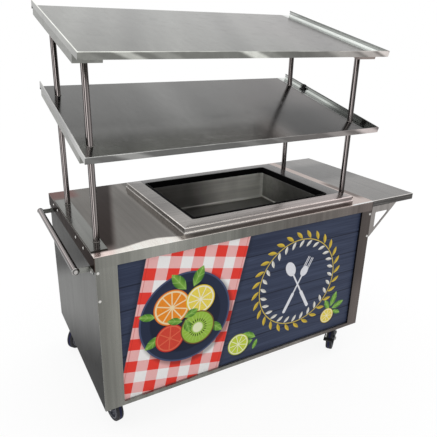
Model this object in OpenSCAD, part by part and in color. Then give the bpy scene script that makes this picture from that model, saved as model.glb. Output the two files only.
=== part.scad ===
// Cold food serving cart on casters, with a well in its counter and two sloping display shelves.
// The origin is on the floor below the middle of the whole cart.
// X runs to the right, Y from the closed front to the open back, Z up.

/* [Cabinet] */
// Width of the cabinet and its counter
cabinet_w = 1400; // [1300:10:1700]
// Depth of the cabinet and its counter
cabinet_d = 820; // [780:10:900]
// Height of the counter above the floor
counter_h = 864; // [820:1:920]
// Thickness of the counter's sheet
counter_t = 2; // [1.5:0.5:3]
// Thickness of the cabinet's sheet steel
sheet_t = 2; // [1.5:0.25:3]
// Width of the flanges along the panels' edges
flange_w = 25; // [20:1:30]
// Depth of the bottom pan, which is the front's bottom rail too
pan_h = 18; // [16:1:30]

/* [Front] */
// Width of the stile left of the printed panel
left_stile_w = 86; // [75:1:110]
// Width of the stile right of the printed panel
right_stile_w = 66; // [60:1:90]
// Height of the rail above the printed panel
top_rail_h = 48; // [42:1:70]
// How far the printed panel is set back
reveal_d = 10; // [8:1:16]
// Thickness of the printed panel
graphic_t = 3; // [2:0.5:5]
// How far the printed panel runs behind the frame
graphic_lap = 12; // [8:1:14]
// Distance of the stile screws from the cabinet's edge
screw_inset = 12; // [10:1:16]
// Depth of the upper stile screws below the counter
upper_screw_drop = 67; // [55:1:90]
// Depth of the lower stile screws below the counter
lower_screw_drop = 185; // [150:1:200]

/* [Counter ends] */
// Thickness of the dark rail below each end of the counter
rail_t = 3; // [2:0.5:5]
// Height of that rail
rail_h = 58; // [50:1:70]
// Depth of the rail's bolts below the counter
rail_bolt_drop = 24; // [18:1:30]
// Width of the shelf on the right end
end_shelf_w = 285; // [240:5:350]
// Depth of the end shelf's turned-down edge
end_shelf_skirt = 30; // [28:1:45]
// Reach of the end shelf's brackets
bracket_reach = 200; // [180:5:225]
// Height of the end shelf's brackets
bracket_h = 190; // [180:5:220]
// Thickness of the brackets
bracket_t = 3; // [2:0.5:5]

/* [Push handle] */
// Distance from the cabinet's side to the middle of the handle's tube
handle_reach = 56; // [45:1:80]
// Distance from the handle's ends to the cabinet's front and back
handle_end_gap = 45; // [35:5:90]
// Diameter of the handle's tube
handle_d = 25.4; // [20:0.1:30]
// Diameter of the handle's end caps
handle_cap_d = 29; // [26:0.5:36]
// Height of the flat arms
arm_h = 22; // [18:1:25]
// Thickness of the flat arms
arm_t = 3; // [2:0.5:5]

/* [Cold well] */
// Length of free counter left of the raised curb
curb_left_gap = 374; // [340:1:420]
// Distance from the counter's front edge to the curb
curb_front_gap = 26; // [15:1:40]
// Distance from the counter's back edge to the curb
curb_back_gap = 97; // [80:1:120]
// Height of the raised curb
curb_h = 32; // [26:1:45]
// Height of the curb's wider foot
curb_foot_h = 13; // [8:1:16]
// How far the curb's foot stands out
curb_step = 5; // [3:1:8]
// Distance from the curb's left edge to the well
well_left_margin = 92; // [80:1:120]
// Distance from the curb's right edge to the well
well_right_margin = 98; // [85:1:120]
// Distance from the curb's front edge to the well
well_front_margin = 94; // [85:1:110]
// Distance from the curb's back edge to the well
well_back_margin = 69; // [60:1:90]
// Depth of the well's floor below the curb's top
well_depth = 176; // [140:1:200]
// Radius of the well's upright corners
well_corner_r = 6; // [4:1:12]
// Width of the black lip that lies on the curb
lip_w = 10; // [7:1:14]
// Thickness of the black lip and skirt
lip_t = 3; // [2:0.5:4]
// Depth of the black skirt below the curb's top
skirt_h = 28; // [24:1:29]
// Thickness of the insulation round the well
insulation_t = 38; // [25:1:40]
// Outer diameter of the drain's pipe
drain_pipe_d = 26.7; // [21.3:0.1:27]
// Bore of the drain
drain_bore_d = 20; // [14:0.5:20]
// Distance of the drain from the well's front and left walls
drain_inset = 70; // [55:1:110]
// Diameter of the hole in the bottom pan that the drain's hose runs through
hose_hole_d = 70; // [60:1:90]

/* [Uprights] */
// Diameter of the uprights
tube_d = 25.4; // [22:0.1:30]
// Wall of the uprights and of the handle's tube
tube_wall = 1.6; // [1.2:0.1:2.5]
// Distance of the uprights from the display shelves' ends
post_inset = 53; // [50:1:60]
// Distance of the front uprights from the counter's front edge
front_post_gap = 126; // [110:1:180]
// Distance of the back uprights from the counter's back edge
back_post_gap = 220; // [180:1:260]
// Thickness of the foot plates
foot_t = 4; // [3:0.5:6]
// Width of a foot plate on the cart's outer side of the uprights
foot_outer = 44; // [36:1:44]
// Width of the left foot plate on the inner side of its uprights
left_foot_inner = 20; // [18:1:30]
// Width of the right foot plate on the inner side of its uprights
right_foot_inner = 15; // [15:1:25]
// Length of the left foot plate beyond its uprights
left_foot_end = 79; // [50:1:90]
// Length of the right foot plate beyond its uprights
right_foot_end = 40; // [30:1:70]

/* [Display shelves] */
// Length of a shelf's sheet from front to back
shelf_slant = 737; // [640:1:780]
// Tilt of the shelves
shelf_tilt = 14.8; // [8:0.1:18]
// How far the shelves stand out past the counter's left end
shelf_left_reach = 6; // [0:1:12]
// How far the shelves stop short of the counter's right end
shelf_right_gap = 43; // [40:1:80]
// Height of the lower shelf's front edge above the counter
lower_shelf_rise = 345; // [300:1:400]
// Height of the upper shelf's front edge above the counter
upper_shelf_rise = 678; // [600:1:740]
// Thickness of the shelves' sheet
shelf_t = 2; // [1.5:0.5:3]
// Height of the rim on a shelf's front and ends
rim_h = 25.4; // [18:0.1:40]
// Radius of the rim's rolled hem
hem_r = 2.5; // [2:0.25:4]
// Width of the channel below each end of a shelf
channel_w = 103; // [90:1:106]
// Depth of that channel
channel_h = 31; // [24:1:40]
// Distance of the channel from the shelf's front edge
channel_front_gap = 66; // [40:1:80]
// Distance of the channel from the shelf's back edge
channel_back_gap = 25; // [20:1:60]

/* [Casters] */
// Height of a caster from the floor to its top plate's face
caster_h = 163; // [158:1:180]
// Diameter of the wheels
wheel_d = 127; // [115:1:132]
// Width of the tyres
wheel_w = 32; // [28:1:36]
// Distance of the wheel's axle behind the swivel's axis
trail = 35; // [30:1:40]
// Distance of the swivel's axis from the cabinet's ends
caster_inset_x = 78; // [75:1:100]
// Distance of the swivel's axis from the cabinet's front and back
caster_inset_y = 86; // [75:1:110]
// Direction in which the front left caster trails
front_left_turn = 100; // [0:1:359]
// Direction in which the front right caster trails
front_right_turn = 217; // [0:1:359]
// Direction in which the back left caster trails
back_left_turn = 220; // [0:1:359]
// Direction in which the back right caster trails
back_right_turn = 150; // [0:1:359]

/* [Hidden] */
$fn = 48;

// How far a cut runs past the face it opens
over = 1;
// Clearance between pieces that are fixed together
seat = 0.1;
// Radial clearance of a running fit
running = 0.05;
// Clearance between pieces that move past each other
clear = 0.4;

steel = "silver";
dark = "dimgray";

// The cart is balanced on its origin: the handle against the end shelf, the shelves' rim against the back
rim_reach = hem_r + (rim_h - hem_r) * sin(shelf_tilt) - hem_r * cos(shelf_tilt);
cabinet_x = (handle_reach + handle_cap_d / 2 - end_shelf_w) / 2;
cabinet_y = rim_reach / 2;
left_x = cabinet_x - cabinet_w / 2;
right_x = cabinet_x + cabinet_w / 2;
front_y = cabinet_y - cabinet_d / 2;
back_y = cabinet_y + cabinet_d / 2;

// The side panels' outer faces lie behind the edge rails
panel_left = left_x + rail_t;
panel_right = right_x - rail_t;
panel_span = panel_right - panel_left;
counter_bottom = counter_h - counter_t;
pan_top = caster_h + pan_h;
window_left = left_x + left_stile_w;
window_right = right_x - right_stile_w;
window_top = counter_h - top_rail_h;
screw_x = [left_x + screw_inset, right_x - screw_inset];
screw_z = [counter_h - upper_screw_drop, counter_h - lower_screw_drop];
screw_d = 6;
rail_bolt_y = [-0.317, -0.173, 0.249, 0.356] * cabinet_d;
rail_bolt_z = counter_h - rail_bolt_drop;
rail_bolt_d = 6;
rail_bottom = counter_bottom - rail_h;

// Uprights and display shelves
shelf_x = left_x - shelf_left_reach;
shelf_w = cabinet_w + shelf_left_reach - shelf_right_gap;
left_post_x = shelf_x + post_inset;
right_post_x = shelf_x + shelf_w - post_inset;
front_post_y = front_y + front_post_gap;
back_post_y = back_y - back_post_gap;
foot_top = counter_h + foot_t;

// The curb ends beside the right foot plate, and the well lies inside it
foot_gap = 1;
curb_left = left_x + curb_left_gap;
curb_right = right_post_x - right_foot_inner - foot_gap;
curb_front = front_y + curb_front_gap;
curb_back = back_y - curb_back_gap;
curb_top = counter_h + curb_h;
curb_corner_r = 4;
well_left = curb_left + well_left_margin;
well_right = curb_right - well_right_margin;
well_front = curb_front + well_front_margin;
well_back = curb_back - well_back_margin;
well_floor = curb_top - well_depth;
liner_top = curb_top - skirt_h;
liner_flange = 12;
jacket_t = 1.2;
jacket_top = liner_top - sheet_t;
jacket_flange = 14;
jacket_wall = sheet_t + insulation_t + jacket_t;
jacket_bottom = well_floor - jacket_wall;
brace_w = 36;
brace_h = 25;

// Drain below the well
drain_x = well_left + drain_inset;
drain_y = well_front + drain_inset;
drain_nut_h = 9;
socket_l = 15;
valve_r = 24;
valve_neck = 28;
ball_r = 17;
stem_d = 10;
valve_z = jacket_bottom - drain_nut_h - valve_neck - socket_l - 5;
drain_pipe_end = valve_z + valve_neck;
outlet_l = 60;
tail_d = drain_pipe_d - 2.7;
tail_l = 44;
lever_y = valve_r + 12;
lever_l = 112;
lever_w = 22;
lever_t = 3;

// Push handle
handle_l = cabinet_d - 2 * handle_end_gap;
handle_x = left_x - handle_reach;
arm_top = rail_bottom - 0.5;
handle_z = arm_top - 7.5;
arm_inset = 15;
arm_foot = 34;
arm_bolt_d = 8;
arm_bolt_y = handle_l / 2 - arm_inset + arm_foot / 2 + 2;
arm_bolt_z = arm_top - arm_h / 2;
cap_l = 9;

// Casters: positions, then the levels of the swivel's pieces from the plate down
caster_inset = [cabinet_w / 2 - caster_inset_x, cabinet_d / 2 - caster_inset_y];
caster_x = [for (side = [-1, 1, -1, 1]) cabinet_x + side * caster_inset[0]];
caster_y = [for (end = [-1, -1, 1, 1]) cabinet_y + end * caster_inset[1]];
caster_turn = [front_left_turn, front_right_turn, back_left_turn, back_right_turn];
wheel_r = wheel_d / 2;
plate_size = [80, 105, 4];
plate_bolts = [56, 80];
caster_bolt_d = 8;
cup_r = 31;
cup_h = 11;
cup_wall = 2.5;
race_r = 27;
race_h = 8;
crown_t = 4;
crown_z = caster_h - plate_size[2] - cup_h - crown_t - clear;
king_pin_d = 12;
fork_gap = wheel_w + 6;
leg_t = 4;
fork_out = fork_gap / 2 + leg_t;
leg_front = -24;
leg_back = trail + 14;
boss_r = 14;
axle_d = 10;
sleeve_d = 15;
tyre_t = 13;
hub_d = 32;

// Brake pedal on the front casters
pedal_rise = 40;
pedal_pivot = [trail + 3, wheel_r + pedal_rise];
pedal_pin_d = 8;
pedal_t = 3;
pedal_eye_r = 9;
pedal_out = fork_out + clear + pedal_t;
pad_z = pedal_pivot[1] - 8;
pad_lift = 8.3;
pad_x = trail + sqrt(pow(wheel_r + pad_lift, 2) - pow(pad_z - wheel_r, 2));
pad_l = 28;

// Point where a line from p touches the circle at c, on its left (turn 1) or right side (turn -1)
function tangent_point(p, c, r, turn) =
    let (away = p - c, angle = atan2(away[1], away[0]) + turn * acos(r / norm(away)))
    c + r * [cos(angle), sin(angle)];

// Flat shape with round corners, lying from low to high
module rounded_area(low, high, r) {
    size = high - low;
    translate(low) {
        translate([r, 0]) square([size[0] - 2 * r, size[1]]);
        translate([0, r]) square([size[0], size[1] - 2 * r]);
        for (x = [r, size[0] - r], y = [r, size[1] - r]) {
            translate([x, y]) circle(r);
        }
    }
}

// Block from z0 to z1 over the well's opening, grown by a margin on each side
module well_block(grow, z0, z1) {
    translate([0, 0, z0]) linear_extrude(z1 - z0)
        rounded_area([well_left - grow, well_front - grow], [well_right + grow, well_back + grow],
            well_corner_r + max(grow, 0));
}

// Block from z0 to z1 over the curb, drawn in by a margin on each side
module curb_block(inset, z0, z1) {
    translate([0, 0, z0]) linear_extrude(z1 - z0)
        rounded_area([curb_left + inset, curb_front + inset], [curb_right - inset, curb_back - inset],
            curb_corner_r);
}

// Low domed head of radius r and height h, standing on z = 0
module domed_head(r, h) {
    ball = (r * r + h * h) / (2 * h);
    intersection() {
        translate([0, 0, h - ball]) sphere(ball);
        cylinder(r = r + over, h = h + over);
    }
}

// Domed screw along +Z: its head stands on z = 0 and its shank runs down through a grip, into a nut
module domed_screw(d, grip) {
    domed_head(d, d * 0.55);
    translate([0, 0, -grip - d * 0.6]) cylinder(d = d, h = grip + d * 0.6);
    translate([0, 0, -grip - d * 0.6]) cylinder(d = d * 1.8, h = d * 0.6, $fn = 6);
}

// Hexagon bolt along +Z: its head stands on z = 0 and its shank runs down through a grip, into a nut
module hex_bolt(d, grip) {
    cylinder(d = d * 1.9, h = d * 0.6, $fn = 6);
    translate([0, 0, -grip - d * 0.8]) cylinder(d = d, h = grip + d * 0.8);
    translate([0, 0, -grip - d * 0.8]) cylinder(d = d * 1.9, h = d * 0.8, $fn = 6);
}

module at_stile_screws() {
    for (x = screw_x, z = screw_z) {
        translate([x, front_y, z]) rotate([90, 0, 0]) children();
    }
}

module at_rail_bolts(x, side) {
    for (y = rail_bolt_y) {
        translate([x, cabinet_y + y, rail_bolt_z]) rotate([0, side * 90, 0]) children();
    }
}

// Cabinet

module bottom_pan() {
    low = [panel_left + sheet_t, front_y + sheet_t, caster_h];
    size = [panel_span - 2 * sheet_t, cabinet_d - sheet_t, pan_h];
    color(steel) difference() {
        translate(low) cube(size);
        translate(low + [sheet_t, sheet_t, -over])
            cube(size - [2 * sheet_t, 2 * sheet_t, sheet_t - over]);
        translate([drain_x, drain_y, caster_h]) cylinder(d = hose_hole_d, h = pan_h + over);
    }
}

// Channels, open towards the pan, that take the casters' load
module caster_channels() {
    w = 116;
    low_y = front_y + 2 * sheet_t;
    length = cabinet_d - 3 * sheet_t;
    h = pan_h - sheet_t;
    color(steel) difference() {
        for (side = [0, 1]) {
            translate([caster_x[side] - w / 2, low_y, caster_h]) difference() {
                cube([w, length, h]);
                translate([sheet_t, -over, sheet_t]) cube([w - 2 * sheet_t, length + 2 * over, h]);
            }
        }
        caster_bolt_holes();
    }
}

// Side panel with its outer face on x = 0 and its flanges towards +X
module side_sheet() {
    h = counter_bottom - pan_top;
    color(steel) difference() {
        union() {
            translate([0, front_y + sheet_t, caster_h])
                cube([sheet_t, cabinet_d - sheet_t, counter_bottom - caster_h]);
            for (y = [front_y + sheet_t, back_y - sheet_t]) {
                translate([0, y, pan_top]) cube([flange_w, sheet_t, h]);
            }
        }
        for (z = screw_z) {
            translate([screw_inset - rail_t, front_y + 2 * sheet_t, z]) rotate([90, 0, 0])
                cylinder(d = screw_d + 2 * seat, h = 4 * sheet_t, center = true);
        }
        at_rail_bolts(0, 1) cylinder(d = rail_bolt_d + 2 * seat, h = 4 * sheet_t, center = true);
        for (end = [-1, 1]) {
            translate([0, cabinet_y + end * arm_bolt_y, arm_bolt_z]) rotate([0, 90, 0])
                cylinder(d = arm_bolt_d + 2 * seat, h = 4 * sheet_t, center = true);
        }
    }
}

module left_side_panel() {
    translate([panel_left, 0, 0]) side_sheet();
}

module right_side_panel() {
    translate([panel_right, 0, 0]) mirror([1, 0, 0]) side_sheet();
}

// Face frame: its window has returns on three sides, and the pan's top is its sill
module front_frame() {
    frame_h = counter_bottom - caster_h;
    window = [window_right - window_left, window_top - pan_top];
    color(steel) difference() {
        union() {
            translate([panel_left, front_y, caster_h]) cube([panel_span, sheet_t, frame_h]);
            for (x = [window_left - sheet_t, window_right]) {
                translate([x, front_y, pan_top]) cube([sheet_t, reveal_d, window[1] + sheet_t]);
            }
            translate([window_left - sheet_t, front_y, window_top])
                cube([window[0] + 2 * sheet_t, reveal_d, sheet_t]);
            translate([panel_left + flange_w, front_y, counter_bottom - sheet_t])
                cube([panel_span - 2 * flange_w, flange_w, sheet_t]);
        }
        translate([window_left, front_y - over, pan_top])
            cube([window[0], reveal_d + 2 * over, window[1]]);
        at_stile_screws() cylinder(d = screw_d + 2 * seat, h = 4 * sheet_t, center = true);
    }
}

// Printed panel, which stands on the pan behind the window
module graphic_panel() {
    color("midnightblue") translate([window_left - graphic_lap, front_y + reveal_d, pan_top])
        cube([window_right - window_left + 2 * graphic_lap, graphic_t,
            window_top - pan_top + graphic_lap]);
}

// Folded clip that is screwed behind the stile at x and holds the printed panel's edge
module panel_clip(x, z, inward) {
    clip_h = 24;
    clip_t = 1.5;
    foot = 14;
    step_x = graphic_lap + 1.5;
    back = reveal_d + graphic_t;
    translate([x, front_y, z]) mirror([inward < 0 ? 1 : 0, 0, 0]) {
        translate([-step_x - foot, sheet_t, 0]) cube([foot, clip_t, clip_h]);
        translate([-step_x - clip_t, sheet_t, 0]) cube([clip_t, back + clip_t - sheet_t, clip_h]);
        translate([-step_x - clip_t, back, 0]) cube([step_x - sheet_t, clip_t, clip_h]);
        translate([-step_x - foot / 2 - clip_t / 2, sheet_t + clip_t, clip_h / 2]) rotate([-90, 0, 0])
            domed_head(4, 2.5);
    }
}

module panel_clips() {
    color(steel) for (share = [0.15, 0.5, 0.85]) {
        z = pan_top + share * (window_top - pan_top);
        panel_clip(window_left, z, 1);
        panel_clip(window_right, z, -1);
    }
}

module rear_top_rail() {
    face_h = 50;
    lip = 15;
    y = back_y - 2 * sheet_t;
    color(steel) {
        translate([panel_left + sheet_t, y, counter_bottom - face_h])
            cube([panel_span - 2 * sheet_t, sheet_t, face_h]);
        translate([panel_left + sheet_t, y - lip, counter_bottom - face_h])
            cube([panel_span - 2 * sheet_t, lip + sheet_t, sheet_t]);
    }
}

// Channels under the counter: two below the uprights and one left of the well
module counter_braces() {
    length = cabinet_d - flange_w - 2 * sheet_t;
    middle_x = (curb_left + left_post_x) / 2;
    color(steel) for (x = [left_post_x, middle_x, right_post_x]) {
        translate([x - brace_w / 2, front_y + flange_w, counter_bottom - brace_h]) difference() {
            cube([brace_w, length, brace_h]);
            translate([sheet_t, -over, sheet_t])
                cube([brace_w - 2 * sheet_t, length + 2 * over, brace_h]);
        }
    }
}

module stile_screws() {
    color("whitesmoke") at_stile_screws() domed_screw(screw_d, 2 * sheet_t);
}

// Counter and its ends

module counter_top() {
    color(steel) difference() {
        translate([left_x, front_y, counter_bottom]) cube([cabinet_w, cabinet_d, counter_t]);
        well_block(jacket_wall + 1, counter_bottom - over, counter_h + over);
    }
}

// Rail below an end of the counter, with its lower face on x
module edge_rail(x) {
    color(dark) difference() {
        translate([x, front_y, rail_bottom]) cube([rail_t, cabinet_d, rail_h]);
        at_rail_bolts(x, 1) cylinder(d = rail_bolt_d + 2 * seat, h = 4 * rail_t, center = true);
    }
}

module left_edge_rail() {
    edge_rail(left_x);
}

module right_edge_rail() {
    edge_rail(right_x - rail_t);
}

// The right bolts hold the end shelf too
module rail_bolts() {
    color("whitesmoke") {
        at_rail_bolts(left_x, -1) domed_screw(rail_bolt_d, rail_t + sheet_t);
        at_rail_bolts(right_x + sheet_t, 1) domed_screw(rail_bolt_d, rail_t + 2 * sheet_t);
    }
}

module end_shelf() {
    low = [right_x, front_y, counter_h - end_shelf_skirt];
    size = [end_shelf_w, cabinet_d, end_shelf_skirt];
    color(steel) difference() {
        translate(low) cube(size);
        translate(low + [sheet_t, sheet_t, -over])
            cube(size - [2 * sheet_t, 2 * sheet_t, counter_t - over]);
        at_rail_bolts(right_x, 1) cylinder(d = rail_bolt_d + 2 * seat, h = 4 * sheet_t, center = true);
    }
}

// Triangle with round corners of radius r about its three centres, listed clockwise
module rounded_triangle(centres, r) {
    polygon(centres);
    for (i = [0:2]) {
        a = centres[i];
        b = centres[(i + 1) % 3];
        along = (b - a) / norm(b - a);
        outward = [-along[1], along[0]] * r;
        translate(a) circle(r);
        polygon([a, b, b + outward, a + outward]);
    }
}

// Bracket plate below the end shelf at y, with flanges towards the cart's middle on its top and its foot
module shelf_bracket(y, inward) {
    z_top = counter_bottom;
    toe = 5;
    hole_r = 6;
    hole_in = 35;
    hole_top = 68;
    flange_z = z_top - bracket_h;
    slope = (bracket_reach - toe) / bracket_h;
    hole_h = (bracket_h - hole_top - hole_in / slope) * 0.78;
    x0 = right_x + sheet_t;
    translate([0, y, 0]) mirror([0, inward < 0 ? 1 : 0, 0]) {
        translate([0, bracket_t, 0]) rotate([90, 0, 0]) linear_extrude(bracket_t) difference() {
            polygon([[x0, z_top], [right_x + bracket_reach, z_top], [right_x + toe, flange_z],
                [panel_right, flange_z], [panel_right, rail_bottom - seat], [x0, rail_bottom - seat]]);
            rounded_triangle([
                [right_x + hole_in, z_top - hole_top],
                [right_x + hole_in + hole_h * slope, z_top - hole_top],
                [right_x + hole_in, z_top - hole_top - hole_h]], hole_r);
        }
        translate([x0, 0, z_top - bracket_t])
            cube([bracket_reach - flange_w, flange_w, bracket_t]);
        difference() {
            translate([panel_right, 0, flange_z])
                cube([bracket_t, flange_w, rail_bottom - seat - flange_z]);
            for (z = screw_z) {
                translate([panel_right, flange_w * 0.6, z]) rotate([0, 90, 0])
                    cylinder(d = screw_d + 2 * seat, h = 4 * bracket_t, center = true);
            }
        }
    }
}

module shelf_brackets() {
    color(steel) {
        shelf_bracket(front_y + sheet_t, 1);
        shelf_bracket(back_y - sheet_t, -1);
    }
}

// Push handle

module handle_tube() {
    length = handle_l - 2 * cap_l;
    color("whitesmoke") translate([handle_x, cabinet_y, handle_z]) rotate([90, 0, 0]) difference() {
        cylinder(d = handle_d, h = length, center = true);
        cylinder(d = handle_d - 2 * tube_wall, h = length + 2 * over, center = true);
    }
}

// Domed caps with a plug in each end of the tube
module handle_caps() {
    plug_l = 14;
    color("whitesmoke") for (end = [-1, 1]) {
        translate([handle_x, cabinet_y + end * (handle_l / 2 - cap_l), handle_z])
            rotate([-end * 90, 0, 0]) {
                domed_head(handle_cap_d / 2, cap_l);
                translate([0, 0, -plug_l]) cylinder(d = handle_d - 2 * tube_wall - 2 * seat, h = plug_l);
            }
    }
}

// Flat arms, hollowed to the tube's round, each with a foot bent towards the nearest corner
module handle_arms() {
    arm_z = arm_top - arm_h;
    arm_y = handle_l / 2 - arm_inset;
    color(steel) for (end = [-1, 1]) {
        translate([0, cabinet_y, 0]) mirror([0, end < 0 ? 1 : 0, 0]) difference() {
            union() {
                translate([handle_x, arm_y - arm_t, arm_z])
                    cube([panel_left - handle_x, arm_t, arm_h]);
                translate([panel_left - arm_t, arm_y - arm_t, arm_z]) cube([arm_t, arm_foot, arm_h]);
            }
            translate([handle_x, 0, handle_z]) rotate([90, 0, 0])
                cylinder(d = handle_d + 2 * seat, h = handle_l + 4 * over, center = true);
            translate([handle_x - handle_d, arm_y - arm_t - over, arm_z - over])
                cube([handle_d, arm_t + 2 * over, arm_h + 2 * over]);
            translate([panel_left, arm_bolt_y, arm_bolt_z]) rotate([0, 90, 0])
                cylinder(d = arm_bolt_d + 2 * seat, h = 4 * arm_t, center = true);
        }
    }
}

module handle_bolts() {
    color("whitesmoke") for (end = [-1, 1]) {
        translate([panel_left - arm_t, cabinet_y + end * arm_bolt_y, arm_bolt_z]) rotate([0, -90, 0])
            hex_bolt(arm_bolt_d, arm_t + sheet_t);
    }
}

// Cold well

// Raised curb: a sheet cover with a wider foot, open below and cut out for the well
module well_curb() {
    foot_top_z = counter_h + curb_foot_h;
    color(steel) difference() {
        union() {
            curb_block(0, counter_h, foot_top_z);
            curb_block(curb_step, counter_h, curb_top);
        }
        curb_block(sheet_t, counter_h - over, foot_top_z - sheet_t);
        curb_block(curb_step + sheet_t, counter_h - over, curb_top - sheet_t);
        well_block(lip_t + seat, counter_h, curb_top + over);
    }
}

// Black breaker strip: a lip on the curb and a skirt down to the liner
module well_gasket() {
    color("black") difference() {
        union() {
            well_block(lip_w, curb_top, curb_top + lip_t);
            well_block(lip_t, liner_top, curb_top + lip_t);
        }
        well_block(0, liner_top - over, curb_top + lip_t + over);
    }
}

module well_liner() {
    color(steel) difference() {
        union() {
            well_block(sheet_t, well_floor - sheet_t, liner_top);
            well_block(liner_flange, liner_top - sheet_t, liner_top);
        }
        well_block(0, well_floor, liner_top + over);
        drain_hole(well_floor - sheet_t);
    }
}

// Insulation between the liner and the jacket
module well_insulation() {
    color("khaki") difference() {
        well_block(jacket_wall - jacket_t, well_floor - jacket_wall + jacket_t, jacket_top - jacket_t);
        well_block(sheet_t, well_floor - sheet_t, jacket_top + over);
        drain_hole(jacket_bottom);
    }
}

// Jacket that hangs on the counter by its flange, closed above the insulation
module well_jacket() {
    color("gainsboro") difference() {
        union() {
            well_block(jacket_wall, jacket_bottom, jacket_top);
            well_block(jacket_wall + jacket_flange, counter_h, jacket_top);
        }
        well_block(jacket_wall - jacket_t, jacket_bottom + jacket_t, jacket_top - jacket_t);
        well_block(sheet_t + seat, jacket_top - 2 * jacket_t, jacket_top + over);
        drain_hole(jacket_bottom);
    }
}

// Hole for the drain's pipe from below z up through the liner's floor
module drain_hole(z) {
    translate([drain_x, drain_y, z - over])
        cylinder(d = drain_pipe_d + 2 * seat, h = well_floor - z + 2 * over);
}

// Strainer flange in the well's floor, its pipe, and the nut that clamps it below the jacket
module drain_fitting() {
    flange_r = 38;
    strainer_t = 1.5;
    color("whitesmoke") translate([drain_x, drain_y, 0]) {
        difference() {
            union() {
                translate([0, 0, well_floor]) cylinder(r = flange_r, h = sheet_t);
                translate([0, 0, drain_pipe_end])
                    cylinder(d = drain_pipe_d, h = well_floor - drain_pipe_end + over);
                translate([0, 0, jacket_bottom - drain_nut_h])
                    cylinder(d = drain_pipe_d + 16, h = drain_nut_h, $fn = 6);
            }
            translate([0, 0, drain_pipe_end - over])
                cylinder(d = drain_bore_d, h = well_floor - drain_pipe_end + sheet_t - strainer_t + over);
            for (turn = [0:60:300]) {
                rotate([0, 0, turn]) translate([drain_bore_d * 0.32, 0, well_floor - over])
                    cylinder(d = drain_bore_d * 0.2, h = 2 * sheet_t + over);
            }
            translate([0, 0, well_floor - over]) cylinder(d = drain_bore_d * 0.2, h = 2 * sheet_t + over);
        }
    }
}

// Ball valve: two hexagonal sockets, a round housing and the stem's neck towards the back
module drain_valve() {
    hex_d = drain_pipe_d + 14;
    color("goldenrod") translate([drain_x, drain_y, valve_z]) difference() {
        union() {
            sphere(valve_r);
            for (z = [-valve_neck - socket_l / 2, valve_neck - socket_l / 2]) {
                translate([0, 0, z]) cylinder(d = hex_d, h = socket_l, $fn = 6);
            }
            cylinder(d = drain_pipe_d + 4, h = 2 * valve_neck, center = true);
            rotate([-90, 0, 0]) cylinder(d = stem_d + 8, h = valve_r + 8);
        }
        sphere(ball_r + clear);
        cylinder(d = drain_bore_d, h = 3 * valve_neck, center = true);
        for (end = [-1, 1]) {
            translate([0, 0, end * (valve_neck + socket_l / 2)])
                cylinder(d = drain_pipe_d + 2 * seat, h = socket_l, center = true);
        }
        rotate([-90, 0, 0]) cylinder(d = stem_d + 2 * running, h = 2 * valve_r);
    }
}

// Outlet with a slimmer tail, which a hose is pushed onto up to the shoulder
module drain_outlet() {
    color("whitesmoke") translate([drain_x, drain_y, valve_z - valve_neck - outlet_l]) difference() {
        union() {
            cylinder(d = tail_d, h = outlet_l);
            translate([0, 0, tail_l]) cylinder(d = drain_pipe_d, h = outlet_l - tail_l);
        }
        translate([0, 0, -over]) cylinder(d = drain_bore_d, h = outlet_l + 2 * over);
    }
}

// Ball with its bore across the pipe, so that the valve is shut at rest, and its stem
module drain_ball() {
    stem_start = drain_bore_d / 2 + 2;
    color("whitesmoke") translate([drain_x, drain_y, valve_z]) {
        difference() {
            sphere(ball_r);
            rotate([0, 90, 0]) cylinder(d = drain_bore_d, h = 2 * ball_r + 2 * over, center = true);
        }
        rotate([-90, 0, 0]) translate([0, 0, stem_start])
            cylinder(d = stem_d, h = lever_y + lever_t + 8 - stem_start);
    }
}

// Lever and its nut on the stem
module drain_lever() {
    nut_h = 6;
    color("steelblue") translate([drain_x, drain_y + lever_y, valve_z]) rotate([-90, 0, 0])
        difference() {
            union() {
                cylinder(d = lever_w + 4, h = lever_t);
                translate([0, -lever_w / 2, 0]) cube([lever_l - lever_w / 2, lever_w, lever_t]);
                translate([lever_l - lever_w / 2, 0, 0]) cylinder(d = lever_w, h = lever_t);
                cylinder(d = stem_d * 1.8, h = lever_t + nut_h, $fn = 6);
            }
            translate([0, 0, -over]) cylinder(d = stem_d + 2 * seat, h = lever_t + nut_h + 2 * over);
        }
}

// Uprights and display shelves

// Foot plate below both uprights of one end, from x0 to x1 and past the uprights by an end
module foot_plate(x0, x1, end) {
    color(steel) translate([x0, front_post_y - end, counter_h])
        cube([x1 - x0, back_post_y - front_post_y + 2 * end, foot_t]);
}

module left_foot_plate() {
    foot_plate(left_post_x - foot_outer, left_post_x + left_foot_inner, left_foot_end);
}

module right_foot_plate() {
    foot_plate(right_post_x - right_foot_inner, right_post_x + foot_outer, right_foot_end);
}

// Places what follows on a shelf's underside: X along its front edge, Y up its slope, Z square to it
module at_shelf(rise) {
    translate([shelf_x, front_y, counter_h + rise]) rotate([shelf_tilt, 0, 0]) children();
}

// Height of a shelf's underside at y
function shelf_z(rise, y) = counter_h + rise + (y - front_y) * tan(shelf_tilt);

// Tube from its foot plate up to the upper channel, cut off along the channel's slope
module upright(x, y) {
    tall = shelf_z(upper_shelf_rise, y) + tube_d - foot_top;
    color("whitesmoke") difference() {
        translate([x, y, foot_top]) difference() {
            cylinder(d = tube_d, h = tall);
            translate([0, 0, -over]) cylinder(d = tube_d - 2 * tube_wall, h = tall + 2 * over);
        }
        at_shelf(upper_shelf_rise) translate([-over, -over, -channel_h])
            cube([shelf_w + 2 * over, shelf_slant + 2 * over, 4 * channel_h]);
    }
}

module front_left_upright() {
    upright(left_post_x, front_post_y);
}

module back_left_upright() {
    upright(left_post_x, back_post_y);
}

module front_right_upright() {
    upright(right_post_x, front_post_y);
}

module back_right_upright() {
    upright(right_post_x, back_post_y);
}

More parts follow.
